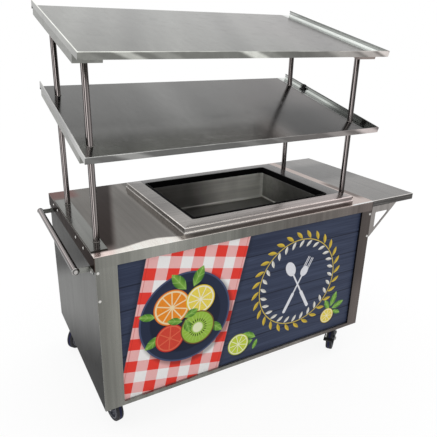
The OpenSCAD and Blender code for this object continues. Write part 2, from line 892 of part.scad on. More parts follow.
// Upright holes through the lower shelf
module upright_holes() {
    for (x = [left_post_x, right_post_x], y = [front_post_y, back_post_y]) {
        translate([x, y, shelf_z(lower_shelf_rise, y) - 2 * channel_h])
            cylinder(d = tube_d + 2 * seat, h = 4 * channel_h);
    }
}

// Sheet with a hemmed rim on the front and both ends, and a turned-down back edge
module display_shelf(rise) {
    back_lip = 12;
    wall_h = rim_h - hem_r;
    at_shelf(rise) {
        cube([shelf_w, shelf_slant, shelf_t]);
        cube([shelf_w, shelf_t, wall_h]);
        for (x = [0, shelf_w - shelf_t]) {
            translate([x, 0, 0]) cube([shelf_t, shelf_slant, wall_h]);
        }
        translate([hem_r, hem_r, wall_h]) rotate([0, 90, 0])
            cylinder(r = hem_r, h = shelf_w - 2 * hem_r);
        for (x = [hem_r, shelf_w - hem_r]) {
            translate([x, hem_r, wall_h]) sphere(hem_r);
            translate([x, hem_r, wall_h]) rotate([-90, 0, 0])
                cylinder(r = hem_r, h = shelf_slant - hem_r);
        }
        translate([0, shelf_slant - shelf_t, -back_lip]) cube([shelf_w, shelf_t, back_lip + shelf_t]);
    }
}

module lower_shelf() {
    color(steel) difference() {
        display_shelf(lower_shelf_rise);
        upright_holes();
    }
}

module upper_shelf() {
    color(steel) display_shelf(upper_shelf_rise);
}

// Closed channels below both ends of a shelf
module shelf_channels(rise) {
    length = shelf_slant - channel_front_gap - channel_back_gap;
    at_shelf(rise) for (x = [0, shelf_w - channel_w]) {
        translate([x, channel_front_gap, -channel_h]) difference() {
            cube([channel_w, length, channel_h]);
            translate([shelf_t, shelf_t, shelf_t])
                cube([channel_w - 2 * shelf_t, length - 2 * shelf_t, channel_h]);
        }
    }
}

module lower_shelf_channels() {
    color(steel) difference() {
        shelf_channels(lower_shelf_rise);
        upright_holes();
    }
}

module upper_shelf_channels() {
    color(steel) shelf_channels(upper_shelf_rise);
}

// Casters

// On the floor below a caster's swivel, with X towards its trailing side
module at_caster(i) {
    translate([caster_x[i], caster_y[i], 0]) rotate([0, 0, caster_turn[i]]) children();
}

// On a caster's axle, with Z along it
module at_axle(i) {
    at_caster(i) translate([trail, 0, wheel_r]) rotate([90, 0, 0]) children();
}

module at_caster_bolts() {
    for (i = [0:3], x = [-0.5, 0.5], y = [-0.5, 0.5]) {
        translate([caster_x[i] + x * plate_bolts[0], caster_y[i] + y * plate_bolts[1], caster_h])
            children();
    }
}

module caster_bolt_holes() {
    at_caster_bolts() cylinder(d = caster_bolt_d + 2 * seat, h = 4 * plate_size[2], center = true);
}

// Top plates, each with the upper raceway's cup and the king pin with its riveted end
module caster_plates() {
    plate_bottom = caster_h - plate_size[2];
    pin_end = crown_z - clear;
    color("gainsboro") difference() {
        for (i = [0:3]) {
            translate([caster_x[i], caster_y[i], 0]) {
                translate([-plate_size[0] / 2, -plate_size[1] / 2, plate_bottom]) cube(plate_size);
                difference() {
                    translate([0, 0, plate_bottom - cup_h])
                        cylinder(r1 = cup_r, r2 = cup_r - 4, h = cup_h);
                    translate([0, 0, plate_bottom - cup_h - over])
                        cylinder(r = cup_r - cup_wall - 1.5, h = cup_h - cup_wall + over);
                }
                translate([0, 0, pin_end - 6]) cylinder(d = king_pin_d, h = plate_bottom - pin_end + 6);
                translate([0, 0, pin_end - 6]) cylinder(r = king_pin_d * 0.8, h = 6);
            }
        }
        caster_bolt_holes();
    }
}

module caster_bolts() {
    color("whitesmoke") at_caster_bolts() translate([0, 0, -plate_size[2]]) rotate([180, 0, 0])
        domed_screw(caster_bolt_d, plate_size[2] + sheet_t);
}

// Outline of a fork's leg: wide at the crown, drawn in to the axle's boss
module fork_leg_outline() {
    top = crown_z + crown_t;
    axle = [trail, wheel_r];
    lead = [leg_front, top];
    rear = [leg_back, top];
    polygon([lead, rear, tangent_point(rear, axle, boss_r, -1), tangent_point(lead, axle, boss_r, 1)]);
    translate(axle) circle(boss_r);
}

// Fork with the lower raceway; a braked one carries the pedal's rivets
module caster_fork(i, braked) {
    color("gainsboro") at_caster(i) difference() {
        union() {
            translate([0, 0, crown_z]) cylinder(r = cup_r, h = crown_t);
            translate([0, 0, crown_z]) cylinder(r = race_r - 2, h = crown_t + race_h);
            translate([leg_front, -fork_out, crown_z])
                cube([leg_back - leg_front, 2 * fork_out, crown_t]);
            for (y = [leg_t - fork_out, fork_out]) {
                translate([0, y, 0]) rotate([90, 0, 0]) linear_extrude(leg_t) fork_leg_outline();
            }
            if (braked) {
                for (turn = [90, -90]) {
                    translate([pedal_pivot[0], 0, pedal_pivot[1]]) rotate([turn, 0, 0]) {
                        translate([0, 0, fork_out - leg_t])
                            cylinder(d = pedal_pin_d, h = leg_t + pedal_t + 2 * clear + 1);
                        translate([0, 0, pedal_out + clear]) cylinder(d = pedal_pin_d * 1.6, h = 2);
                    }
                }
            }
        }
        translate([0, 0, crown_z - over])
            cylinder(d = king_pin_d + 2 * running, h = crown_t + race_h + 2 * over);
        translate([trail, 0, wheel_r]) rotate([90, 0, 0])
            cylinder(d = axle_d + 2 * seat, h = 2 * fork_out + 2 * over, center = true);
    }
}

// Axle bolt with its sleeve between the legs and a nut
module caster_axle(i) {
    head_h = 6;
    color("whitesmoke") at_axle(i) {
        cylinder(d = axle_d, h = 2 * fork_out + 2 * head_h, center = true);
        cylinder(d = sleeve_d, h = fork_gap - 2 * seat, center = true);
        for (turn = [0, 180]) {
            rotate([turn, 0, 0]) translate([0, 0, fork_out])
                cylinder(d = axle_d * 1.8, h = head_h, $fn = 6);
        }
    }
}

// Wheel: hub, dished web and rim
module caster_wheel(i) {
    core_r = wheel_r - tyre_t;
    hub_w = fork_gap - 2;
    web_t = 10;
    rim_t = 6;
    dish_r = core_r - rim_t - 4;
    color("darkslategray") at_axle(i) rotate_extrude() {
        difference() {
            union() {
                translate([0, -hub_w / 2]) square([hub_d / 2, hub_w]);
                translate([0, -web_t / 2]) square([core_r, web_t]);
                translate([core_r - rim_t, 1 - wheel_w / 2]) square([rim_t, wheel_w - 2]);
            }
            translate([0, -hub_w]) square([sleeve_d / 2 + running, 2 * hub_w]);
            for (end = [-1, 1]) {
                translate([(hub_d / 2 + dish_r) / 2, end * (web_t / 2 + 8)]) circle(10);
            }
        }
    }
}

// Tyre with round shoulders
module caster_tyre(i) {
    shoulder = 6;
    core_r = wheel_r - tyre_t + running;
    color("black") at_axle(i) rotate_extrude() {
        translate([core_r, -wheel_w / 2]) square([tyre_t - running - shoulder, wheel_w]);
        translate([core_r, shoulder - wheel_w / 2])
            square([tyre_t - running, wheel_w - 2 * shoulder]);
        for (end = [-1, 1]) {
            translate([wheel_r - shoulder, end * (wheel_w / 2 - shoulder)]) circle(shoulder);
        }
    }
}

// Brake pedal: two arms on the fork's rivets and a tread plate with a rolled edge behind the wheel
module brake_pedal(i) {
    arm_end = [pad_x + pad_l * 0.7, pad_z];
    arm_rise = [0, pedal_t + 2];
    neck = [0, pedal_eye_r * 0.7];
    roll_r = pedal_t;
    color("black") at_caster(i) {
        for (y = [-fork_out - clear, pedal_out]) {
            translate([0, y, 0]) rotate([90, 0, 0]) linear_extrude(pedal_t) difference() {
                union() {
                    translate(pedal_pivot) circle(pedal_eye_r);
                    polygon([arm_end + arm_rise, pedal_pivot + neck, pedal_pivot - neck, arm_end]);
                }
                translate(pedal_pivot) circle(d = pedal_pin_d + 2 * running);
            }
        }
        translate([pad_x, -pedal_out, pad_z]) cube([pad_l, 2 * pedal_out, pedal_t]);
        translate([pad_x + pad_l, 0, pad_z + pedal_t * 0.7]) rotate([90, 0, 0])
            cylinder(r = roll_r, h = 2 * pedal_out - pedal_t, center = true);
    }
}

module front_left_fork() {
    caster_fork(0, true);
}

module front_right_fork() {
    caster_fork(1, true);
}

module back_left_fork() {
    caster_fork(2, false);
}

module back_right_fork() {
    caster_fork(3, false);
}

module front_left_axle() {
    caster_axle(0);
}

module front_right_axle() {
    caster_axle(1);
}

module back_left_axle() {
    caster_axle(2);
}

module back_right_axle() {
    caster_axle(3);
}

module front_left_wheel() {
    caster_wheel(0);
}

module front_right_wheel() {
    caster_wheel(1);
}

module back_left_wheel() {
    caster_wheel(2);
}

module back_right_wheel() {
    caster_wheel(3);
}

module front_left_tyre() {
    caster_tyre(0);
}

module front_right_tyre() {
    caster_tyre(1);
}

module back_left_tyre() {
    caster_tyre(2);
}

module back_right_tyre() {
    caster_tyre(3);
}

module front_left_pedal() {
    brake_pedal(0);
}

module front_right_pedal() {
    brake_pedal(1);
}

bottom_pan();
caster_channels();
left_side_panel();
right_side_panel();
front_frame();
graphic_panel();
panel_clips();
rear_top_rail();
counter_braces();
stile_screws();
counter_top();
left_edge_rail();
right_edge_rail();
rail_bolts();
well_curb();
well_gasket();
well_liner();
well_insulation();
well_jacket();
drain_fitting();
drain_valve();
drain_outlet();
drain_ball();
drain_lever();
left_foot_plate();
right_foot_plate();
front_left_upright();
back_left_upright();
front_right_upright();
back_right_upright();
lower_shelf();
upper_shelf();
lower_shelf_channels();
upper_shelf_channels();
handle_tube();
handle_caps();
handle_arms();
handle_bolts();
end_shelf();
shelf_brackets();
caster_plates();
caster_bolts();
front_left_fork();
front_left_axle();
front_left_wheel();
front_left_tyre();
front_left_pedal();
front_right_fork();
front_right_axle();
front_right_wheel();
front_right_tyre();
front_right_pedal();
back_left_fork();
back_left_axle();
back_left_wheel();
back_left_tyre();
back_right_fork();
back_right_axle();
back_right_wheel();
back_right_tyre();
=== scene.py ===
import math

import bpy
import numpy as np
from mathutils import Matrix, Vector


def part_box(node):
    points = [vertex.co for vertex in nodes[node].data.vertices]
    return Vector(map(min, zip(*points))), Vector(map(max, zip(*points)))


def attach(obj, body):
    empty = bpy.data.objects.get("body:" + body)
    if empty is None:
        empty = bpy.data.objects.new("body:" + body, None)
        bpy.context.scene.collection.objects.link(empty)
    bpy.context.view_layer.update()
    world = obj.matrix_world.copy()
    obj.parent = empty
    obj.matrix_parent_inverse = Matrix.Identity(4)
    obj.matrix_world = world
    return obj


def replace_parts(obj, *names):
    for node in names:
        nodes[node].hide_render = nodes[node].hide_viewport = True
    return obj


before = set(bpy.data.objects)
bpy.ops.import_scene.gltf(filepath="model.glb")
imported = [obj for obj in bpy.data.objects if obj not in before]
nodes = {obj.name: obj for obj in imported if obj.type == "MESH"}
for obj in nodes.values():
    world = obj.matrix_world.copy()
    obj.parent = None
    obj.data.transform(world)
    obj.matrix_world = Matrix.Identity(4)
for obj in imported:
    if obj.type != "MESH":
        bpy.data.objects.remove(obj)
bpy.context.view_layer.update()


# Bottom pan and hidden channels
# The pan and everything folded behind the panels is mill-finish stainless sheet: dull, grey,
# faintly mottled by the rolls and marked with a few handling scratches.

class Wire:
    """One socket of a finish. Arithmetic on wires adds the Math nodes that it stands for."""

    def __init__(self, finish, socket):
        self.finish, self.socket = finish, socket

    def math(self, operation, first, second=0.0):
        return self.finish.node("ShaderNodeMath", {"operation": operation}, {0: first, 1: second})

    def __add__(self, other):
        return self.math("ADD", self, other)

    def __sub__(self, other):
        return self.math("SUBTRACT", self, other)

    def __rsub__(self, other):
        return self.math("SUBTRACT", other, self)

    def __mul__(self, other):
        return self.math("MULTIPLY", self, other)

    def __truediv__(self, other):
        return self.math("DIVIDE", self, other)

    __radd__ = __add__
    __rmul__ = __mul__

    def __abs__(self):
        return self.math("ABSOLUTE", self)

    def floor(self):
        return self.math("FLOOR", self)

    def saw(self):
        """Climbs from -0.5 to 0.5 between each whole number and the next"""
        return self - self.floor() - 0.5

    def rise(self, start, end):
        """0 before start, 1 after end, and a smooth curve between them; falls when start is past end"""
        return self.finish.node("ShaderNodeMapRange", {"interpolation_type": "SMOOTHSTEP"},
                                {"Value": self, "From Min": start, "From Max": end})


class Finish:
    """A material, or a world, in the making: node() adds any node, and surface() feeds the shader."""

    def __init__(self, name, world=None):
        self.material = world or bpy.data.materials.new(name)
        self.material.use_nodes = True
        self.tree = self.material.node_tree
        self.shader = self.tree.nodes["Background" if world else "Principled BSDF"]
        self.place = self.node("ShaderNodeTexCoord", out="Object")

    def node(self, kind, settings=(), sockets=(), out=0):
        """Adds a node: its settings first, then the values or links of its sockets"""
        made = self.tree.nodes.new(kind)
        for name, value in dict(settings).items():
            setattr(made, name, value)
        for name, value in dict(sockets).items():
            if isinstance(value, Wire):
                self.tree.links.new(value.socket, made.inputs[name])
            else:
                made.inputs[name].default_value = value
        return Wire(self, made.outputs[out])

    def axes(self, place=None):
        """The three coordinates of a place as wires"""
        parts = self.node("ShaderNodeSeparateXYZ", (), {0: place or self.place}).socket.node
        return [Wire(self, parts.outputs[k]) for k in range(3)]

    def point(self, x, y):
        return self.node("ShaderNodeCombineXYZ", (), {0: x, 1: y})

    def seen_from(self, place, at, degrees=0.0, size=(1.0, 1.0)):
        """A place as seen from a point of a pattern: moved there, turned, and measured in sizes"""
        return self.node("ShaderNodeMapping", {"vector_type": "TEXTURE"},
                         {"Vector": place, "Location": (*at, 0.0), "Scale": (*size, 1.0),
                          "Rotation": (0.0, 0.0, math.radians(degrees))})

    def away(self, place):
        """Distance from the point that a place is seen from"""
        return self.node("ShaderNodeVectorMath", {"operation": "LENGTH"}, {0: place}, "Value")

    def noise(self, size, detail=2.0, place=None, shift=0.0):
        """Soft noise from 0 to 1 whose blotches are size metres long on each axis"""
        size = size if isinstance(size, tuple) else (size,) * 3
        grid = self.node("ShaderNodeMapping", (), {"Vector": place or self.place,
                         "Location": (shift,) * 3, "Scale": tuple(1 / s for s in size)})
        return self.node("ShaderNodeTexNoise", {"noise_dimensions": "3D"},
                         {"Vector": grid, "Scale": 1.0, "Detail": detail})

    def mix(self, share, first, second):
        """Colour that goes from first to second as share goes from 0 to 1"""
        first, second = (c if isinstance(c, Wire) else (*c, 1.0) for c in (first, second))
        return self.node("ShaderNodeMix", {"data_type": "RGBA"}, {0: share, 6: first, 7: second}, 2)

    def shade(self, colour, amount):
        """A colour made lighter or darker by an amount"""
        colour = colour if isinstance(colour, Wire) else tuple(colour)
        return self.node("ShaderNodeVectorMath", {"operation": "SCALE"}, {0: colour, "Scale": amount})

    def surface(self, colour, roughness, metallic=1.0, height=None, depth=0.0, constants=()):
        """Feeds the shader; height is a bump from 0 to 1 that is depth metres high"""
        sockets = {"Base Color": colour, "Roughness": roughness, "Metallic": metallic, **dict(constants)}
        if height is not None:
            sockets["Normal"] = self.node("ShaderNodeBump", (), {"Strength": 1.0, "Distance": depth,
                                                                 "Height": height})
        for name, value in sockets.items():
            if isinstance(value, Wire):
                self.tree.links.new(value.socket, self.shader.inputs[name])
            else:
                self.shader.inputs[name].default_value = value
        return self


def dress(finish, *names):
    """Gives the frame's nodes their finish"""
    for name in names:
        for place in nodes[name].material_slots:
            place.material = finish.material


def mill_finish(name, tone):
    """Rolled sheet: a grey of that tone, mottled, with long faint scratches and cloudy dullness"""
    f = Finish(name)
    spots = f.noise(0.012, 4.0)
    clouds = f.noise(0.16, 3.0, shift=3.0)
    scratches = f.noise((0.0015, 0.0015, 0.2), 1.0, shift=5.0).rise(0.62, 0.74)
    grey = tone * (0.72 + 0.32 * spots + 0.26 * clouds + 0.12 * scratches)
    return f.surface(f.shade((1.0, 0.985, 0.95), grey), 0.34 + 0.16 * clouds + 0.06 * spots,
                     height=spots + scratches, depth=0.00006)


dress(mill_finish("pan_sheet", 0.25), "bottom_pan", "caster_channels")
dress(mill_finish("hidden_channel_sheet", 0.24), "counter_braces", "rear_top_rail", "panel_clips")


# Side panels and front frame
# Stainless sheet of the cabinet, brushed upright before folding. The scratches of the belt run
# the whole height, and years of wiping leave soft clouds; the metal turns warmer to the right.

def sheet_colour(f, cool=(0.985, 1.0, 0.93), warm=(1.14, 0.97, 0.90), middle=0.0):
    """The metal's cast, cool on the cart's left and warm on its right"""
    x, y, z = f.axes()
    drift = f.noise(0.35, 2.0, shift=11.0)
    return f.mix((x + 0.5 * (drift - 0.5)).rise(middle - 0.55, middle + 0.6), cool, warm)


def brushed(name, tone, along, rough=0.3, streaks=0.35, clouds=0.3, fade=None, graze=1.0, metallic=1.0,
            level=0.5, tint_by_place=None, **casts):
    """Brushed sheet: belt scratches, broader streaks and clouds drawn out along one axis

    fade(f) scales the tone by place and carries painted light and shade, the second cast's function gives
    its share and that cast and tints painted reflections, and graze is the shine that is left at a flat
    angle."""
    f = Finish(name)
    fine = f.noise(tuple(0.18 if a == along else 0.0011 for a in "xyz"), 2.0)
    streak = f.noise(tuple(1.6 if a == along else 0.020 for a in "xyz"), 3.0, shift=2.0)
    cloud = f.noise(tuple(0.6 if a == along else 0.15 for a in "xyz"), 3.0, shift=7.0)
    smear = f.noise(0.05, 4.0, shift=4.0).rise(0.5, 0.75)
    grey = tone * (1 + 0.3 * (fine - 0.5) + 2 * streaks * (streak - 0.5) + 2 * clouds * (cloud - 0.5))
    cast = sheet_colour(f, **casts)
    if fade:
        grey = grey * fade(f)
    if tint_by_place:
        share, other = tint_by_place(f)
        cast = f.mix(share, cast, other)
    return f.surface(f.shade(cast, grey), rough - 0.05 + 0.08 * fine + 0.05 * smear,
                     metallic, height=fine, depth=0.00002,
                     constants={"Specular Tint": (graze, graze, graze, 1.0), "Specular IOR Level": level})


def side_light(f):
    """A slanting patch of light crosses the panel: dark below it, dull above it up to the dark rail"""
    x, y, z = f.axes()
    slant = z + 0.5 * y
    patch = 0.86 * slant.rise(0.16, 0.46) - 0.66 * slant.rise(0.58, 0.68)
    return 0.14 + patch + 0.16 * slant.rise(0.70, 0.85)


def stile_light(f):
    """Painted light: the right stile stands in painted shade, and the rail below the counter is painted
    lighter than the stiles, brightest at the left, with a painted highlight along its top edge on the right
    """
    x, y, z = f.axes()
    rail, right = z.rise(0.812, 0.818), x.rise(0.2, 0.4)
    across = 0.84 + 0.38 * abs(x + 0.50).rise(0.16, 0.04)
    across = across - 0.30 * x.rise(-0.35, -0.1) - 0.02 * x.rise(0.4, 0.5)
    edge = z.rise(0.8550, 0.8600) * x.rise(0.05, 0.3)
    stile = (0.90 - right * (0.42 + 0.20 * z.rise(0.33, 0.50))) * (0.86 + 0.14 * z.rise(0.3, 0.6))
    return (1 - rail) * stile + rail * across * (1 + 0.7 * edge)


dress(brushed("side_panel_sheet", 0.28, "z", 0.30, fade=side_light, graze=0.5, metallic=0.5, level=0.0,
              streaks=0.16, clouds=0.22, cool=(1.0, 1.0, 0.98)), "left_side_panel")
dress(brushed("right_panel_sheet", 0.24, "z", 0.30, streaks=0.2, clouds=0.25), "right_side_panel")
dress(brushed("front_frame_sheet", 0.245, "z", 0.26, streaks=0.4, fade=stile_light, cool=(1.0, 1.0, 0.91),
              warm=(1.1, 0.90, 0.84), middle=0.2), "front_frame")


# Printed panel
# A laminated sheet, clipped behind the front frame's window and printed in full: dark blue planks,
# a red gingham cloth with a bowl of fruit, and a leafy wreath round a fork and a spoon. The print is
# laid out in metres from the window's lower left corner.

f = Finish("printed_laminate")
print_low, print_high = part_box("graphic_panel")
frame_lap, plank_w = 0.012, 0.106
x, y, z = f.axes()
u, v = x - (print_low[0] + frame_lap), z - print_low[2]
spot = f.point(u, v)

# planks, each with its own tone and grain
board = v / plank_w
row = board.floor()
plank_tone = f.node("ShaderNodeTexWhiteNoise", {"noise_dimensions": "1D"}, {"W": row + 7.0})
wavy = f.noise((0.5, 0.05, 1.0), 2.0, place=f.point(u, v + row * 0.7), shift=1.0)
lines = f.noise((0.9, 0.0045, 1.0), 3.0, place=f.point(u, v + 0.05 * wavy + row * 0.31))
figure = f.noise((0.4, 0.03, 1.0), 2.0, place=f.point(u, v + row * 0.9), shift=4.0)
shine = (0.25 + 0.75 * plank_tone) * 0.35 + 0.5 * lines.rise(0.3, 0.75) + 0.35 * figure.rise(0.35, 0.7)
picture = f.mix(shine, (0.0130, 0.0190, 0.046), (0.050, 0.066, 0.118))
seam = abs(board.saw()).rise(0.462, 0.492)
picture = f.mix(seam * 0.8, picture, (0.004, 0.006, 0.016))


def disc(place, at, radius, stretch=1.0, soft=0.0012):
    """1 inside a circle, or an ellipse whose first half-axis is stretched, and 0 outside"""
    return f.away(f.seen_from(place, at, size=(stretch, 1.0))).rise(radius + soft, radius - soft)


def bar(a, b, start, end, half):
    """1 on a round-ended bar along a from start to end, half its width to each side of b = 0"""
    soft = 0.001
    past = abs(a - (start + end) / 2) - (end - start) / 2
    return f.away(f.point(past.math("MAXIMUM", past, 0.0), b)).rise(half + soft, half - soft)


# gingham cloth, turned a little, with a hem and a soft shadow
cloth_u, cloth_v, _ = f.axes(f.seen_from(spot, (0.285, 0.310), -13))
check = 0.052
stripes = []
for line in (cloth_u, cloth_v):
    share = line / (2 * check) + 20.0
    stripes.append(abs(share.saw()).rise(0.245, 0.255))
gingham = f.mix(0.5 * stripes[0] + 0.5 * stripes[1], (0.88, 0.87, 0.86), (0.80, 0.045, 0.030))
threads = f.noise((0.0012, 0.02, 1.0), 1.0, place=f.point(cloth_u, cloth_v))
gingham = f.shade(gingham, 0.93 + 0.14 * threads)
cloth = abs(cloth_u).rise(0.2355, 0.2325)
hem = abs(abs(cloth_u) - 0.2235).rise(0.0022, 0.0012)
shadow = abs(cloth_u).rise(0.262, 0.226)
picture = f.mix(shadow * 0.6, picture, (0.004, 0.005, 0.012))
picture = f.mix(cloth, picture, f.mix(hem * 0.5, gingham, (0.55, 0.03, 0.02)))

# bowl with its rim, its inside and a sheen
bowl = (0.290, 0.318)
picture = f.mix(disc(spot, (0.299, 0.306), 0.222, soft=0.012) * 0.55, picture, (0.02, 0.006, 0.008))
depth = f.away(f.seen_from(spot, bowl))
for edge, colour, soft in ((0.214, (0.055, 0.075, 0.150), 0.001), (0.206, (0.016, 0.024, 0.055), 0.001),
                           (0.166, (0.0075, 0.012, 0.032), 0.004)):
    picture = f.mix(depth.rise(edge + soft, edge - soft), picture, colour)
picture = f.mix(disc(spot, (0.240, 0.391), 0.085, soft=0.05) * 0.25, picture, (0.05, 0.07, 0.14))


def green_leaf(picture, at, degrees, length, half, light=(0.20, 0.42, 0.055)):
    """A leaf with a pale rib and side veins: its half-width is a parabola of the way along it"""
    s, t, _ = f.axes(f.seen_from(spot, at, degrees, (length, half)))
    t = abs(t)
    slant = s * 17.0 - t * 4.5
    veins = slant.math("SINE", slant).rise(0.75, 0.98) + t.rise(0.11, 0.04)
    tone = f.mix(veins * 0.5, f.mix(t, light, (0.045, 0.17, 0.02)), (0.36, 0.56, 0.16))
    return f.mix((4 * s * (1 - s) - t).rise(-0.06, 0.06), picture, tone)


def wedges(a, b, count):
    """Counts the equal wedges round the point a = b = 0: it grows by count in a whole turn"""
    return a.math("ARCTAN2", b, a) * (count / (2 * math.pi))


def fruit_wheel(picture, at, radius, rind, pith, flesh, count):
    """A cut fruit: rind, pith, then count wedges of flesh with thin skins between them"""
    picture = f.mix(disc(spot, (at[0] + 0.005, at[1] - 0.006), radius, soft=0.007) * 0.6, picture,
                    (0.004, 0.005, 0.010))
    place = f.seen_from(spot, at, at[0] * 400, (radius, radius))
    a, b, _ = f.axes(place)
    out = f.away(place)
    soft = 0.0012 / radius
    picture = f.mix(out.rise(1 + soft, 1 - soft), picture, rind)
    picture = f.mix(out.rise(0.93 + soft, 0.93 - soft), picture, pith)
    turn = wedges(a, b, count)
    skin_gap = (0.5 - abs(turn.saw())) * out * (2 * math.pi / count)
    wedge = out.rise(0.85, 0.82) * out.rise(0.09, 0.12) * skin_gap.rise(0.022, 0.045)
    grain = f.noise((0.004, 0.004, 1.0), 3.0, place=spot, shift=at[0])
    return f.mix(wedge, picture, f.shade(flesh, 0.72 + 0.5 * grain))


# fruit and leaves in the bowl
for at, degrees, length in (((0.290, 0.451), 128, 0.105), ((0.325, 0.456), 62, 0.100),
                            ((0.150, 0.356), 165, 0.075), ((0.175, 0.261), 212, 0.090),
                            ((0.405, 0.256), 318, 0.085)):
    picture = green_leaf(picture, at, degrees, length, length * 0.24)
picture = fruit_wheel(picture, (0.225, 0.381), 0.083, (0.80, 0.21, 0.015), (0.87, 0.70, 0.42),
                      (0.86, 0.27, 0.020), 10)
picture = fruit_wheel(picture, (0.358, 0.386), 0.069, (0.78, 0.56, 0.020), (0.88, 0.84, 0.62),
                      (0.84, 0.68, 0.10), 9)
picture = fruit_wheel(picture, (0.213, 0.236), 0.066, (0.58, 0.025, 0.018), (0.74, 0.14, 0.07),
                      (0.66, 0.06, 0.035), 6)
kiwi_r = 0.082
kiwi = f.seen_from(spot, (0.345, 0.250), 0, (kiwi_r, kiwi_r))
a, b, _ = f.axes(kiwi)
out = f.away(kiwi)
picture = f.mix(disc(spot, (0.350, 0.244), kiwi_r, soft=0.007) * 0.6, picture, (0.004, 0.005, 0.010))
for edge, colour, soft in ((1.0, (0.16, 0.085, 0.025), 0.015), (0.93, (0.30, 0.50, 0.055), 0.02),
                           (0.30, (0.80, 0.84, 0.55), 0.05)):
    picture = f.mix(out.rise(edge + soft, edge - soft), picture, colour)
off_seed = abs(wedges(a, b, 22).saw())
seeds = off_seed.rise(0.22, 0.14) * abs(out - 0.46).rise(0.09, 0.06)
rays = off_seed.rise(0.30, 0.50) * abs(out - 0.62).rise(0.30, 0.10)
picture = f.mix(0.35 * rays, picture, (0.62, 0.74, 0.28))
picture = f.mix(seeds, picture, (0.012, 0.010, 0.006))
for at, degrees in (((0.280, 0.318), 20), ((0.287, 0.306), 285), ((0.271, 0.302), 165)):
    picture = green_leaf(picture, at, degrees, 0.072, 0.018)

# wreath: pairs of narrow leaves along a thin ring
wreath, ring, pairs = (0.885, 0.335), 0.222, 28
place = f.seen_from(spot, wreath)
a, b, _ = f.axes(place)
out = f.away(place)
turn = wedges(a, b, pairs)
for side, tone, size in ((1, (0.70, 0.50, 0.055), 0.050), (-1, (0.82, 0.80, 0.74), 0.044)):
    share = turn + 0.37 * side
    around = share.saw() * (2 * math.pi * ring / pairs)
    stalk = (-0.012, ring + 0.004 * side)
    s, t, _ = f.axes(f.seen_from(f.point(around, out), stalk, 52 * side, (size, 0.0085)))
    dark = tuple(0.7 * c for c in tone)
    picture = f.mix((4 * s * (1 - s) - abs(t)).rise(-0.1, 0.1), picture, f.mix(t.rise(-0.1, 0.1), dark, tone))
picture = f.mix(abs(out - ring).rise(0.0030, 0.0016), picture, (0.62, 0.47, 0.10))

# fork and spoon, crossed
for degrees, spoon in ((62, False), (118, True)):
    place = f.seen_from(spot, (wreath[0], wreath[1] - 0.012), degrees)
    a, b, _ = f.axes(place)
    tool = bar(a, b, -0.150, -0.055, 0.0085) + bar(a, b, -0.070, 0.060, 0.0042)
    if spoon:
        tool = tool + disc(place, (0.104, 0.0), 0.026, 1.6)
    else:
        tines = abs(abs(abs(b) - 0.0115) - 0.0042)
        tool = tool + bar(a, tines, 0.085, 0.146, 0.0021) + disc(place, (0.072, 0.0), 0.0215, 1.25)
    silver = f.noise((0.03, 0.004, 1.0), 2.0, place=place)
    picture = f.mix(tool.rise(0.0, 1.0), picture, f.shade((0.80, 0.81, 0.86), 0.8 + 0.3 * silver))

# cut fruit and leaves on the planks
for at, degrees, length in (((0.640, 0.090), 200, 0.070), ((0.655, 0.100), 150, 0.080),
                            ((0.665, 0.085), 245, 0.055), ((1.130, 0.120), 20, 0.080),
                            ((1.120, 0.135), 70, 0.085), ((1.110, 0.120), 118, 0.070),
                            ((1.135, 0.105), 335, 0.060)):
    picture = green_leaf(picture, at, degrees, length, length * 0.22, (0.24, 0.48, 0.07))
picture = fruit_wheel(picture, (0.560, 0.088), 0.056, (0.55, 0.62, 0.035), (0.85, 0.86, 0.58),
                      (0.56, 0.66, 0.06), 9)
picture = fruit_wheel(picture, (1.100, 0.085), 0.042, (0.80, 0.56, 0.020), (0.88, 0.84, 0.62),
                      (0.84, 0.68, 0.10), 8)

# plain grey back of the sheet
film = f.noise(0.0035, 2.0)
print_middle = (print_low[1] + print_high[1]) / 2
blotch = f.noise(0.05, 4.0, shift=6.0)
picture = f.mix(y.rise(print_middle - 0.0003, print_middle + 0.0003), picture,
                f.mix(blotch, (0.40, 0.40, 0.385), (0.52, 0.52, 0.50)))
f.surface(picture, 0.42 + 0.06 * film, 0.0, height=film, depth=0.00003,
          constants={"Specular IOR Level": 0.15})
dress(f, "graphic_panel")


# Screws, bolts and dark end rails
# Domed stainless screws close the corners, and a rail with four bolts runs below each end of the counter,
# where the panels are screwed to it from inside. The rail is painted near black as a painted dark reflection.

def turned_metal(name, tone, rough=0.22):
    """Bright drawn or turned steel: fine rings, dull spots and a darker film in the hollows"""
    f = Finish(name)
    rings = f.noise((0.0007, 0.0007, 0.0007), 1.0)
    dull = f.noise(0.006, 3.0, shift=2.0)
    grey = tone * (0.75 + 0.2 * rings + 0.35 * dull)
    return f.surface(f.shade((1.0, 0.985, 0.95), grey), rough + 0.12 * dull, height=rings, depth=0.00004)


dress(turned_metal("bright_screws", 0.60), "stile_screws", "rail_bolts", "handle_bolts")
# painted dark reflection: the rails' near-black tone with a reddish cast
dress(brushed("dark_rail_steel", 0.045, "y", 0.30, streaks=0.5, clouds=0.6, graze=0.32,
              cool=(1.40, 1.0, 0.86)), "left_edge_rail", "right_edge_rail")


# Counter
# The counter is one sheet brushed from front to back. A painted highlight runs along its front edge
# from the corner to the raised curb, and a painted dark reflection crosses it aslant.

curb_low, curb_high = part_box("well_curb")
counter_low, counter_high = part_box("counter_top")


def off_dark_reflection(x, y):
    """Distance from the middle of the painted dark reflection band that crosses the sheet aslant"""
    return abs(x - 0.29 * y + 0.65)


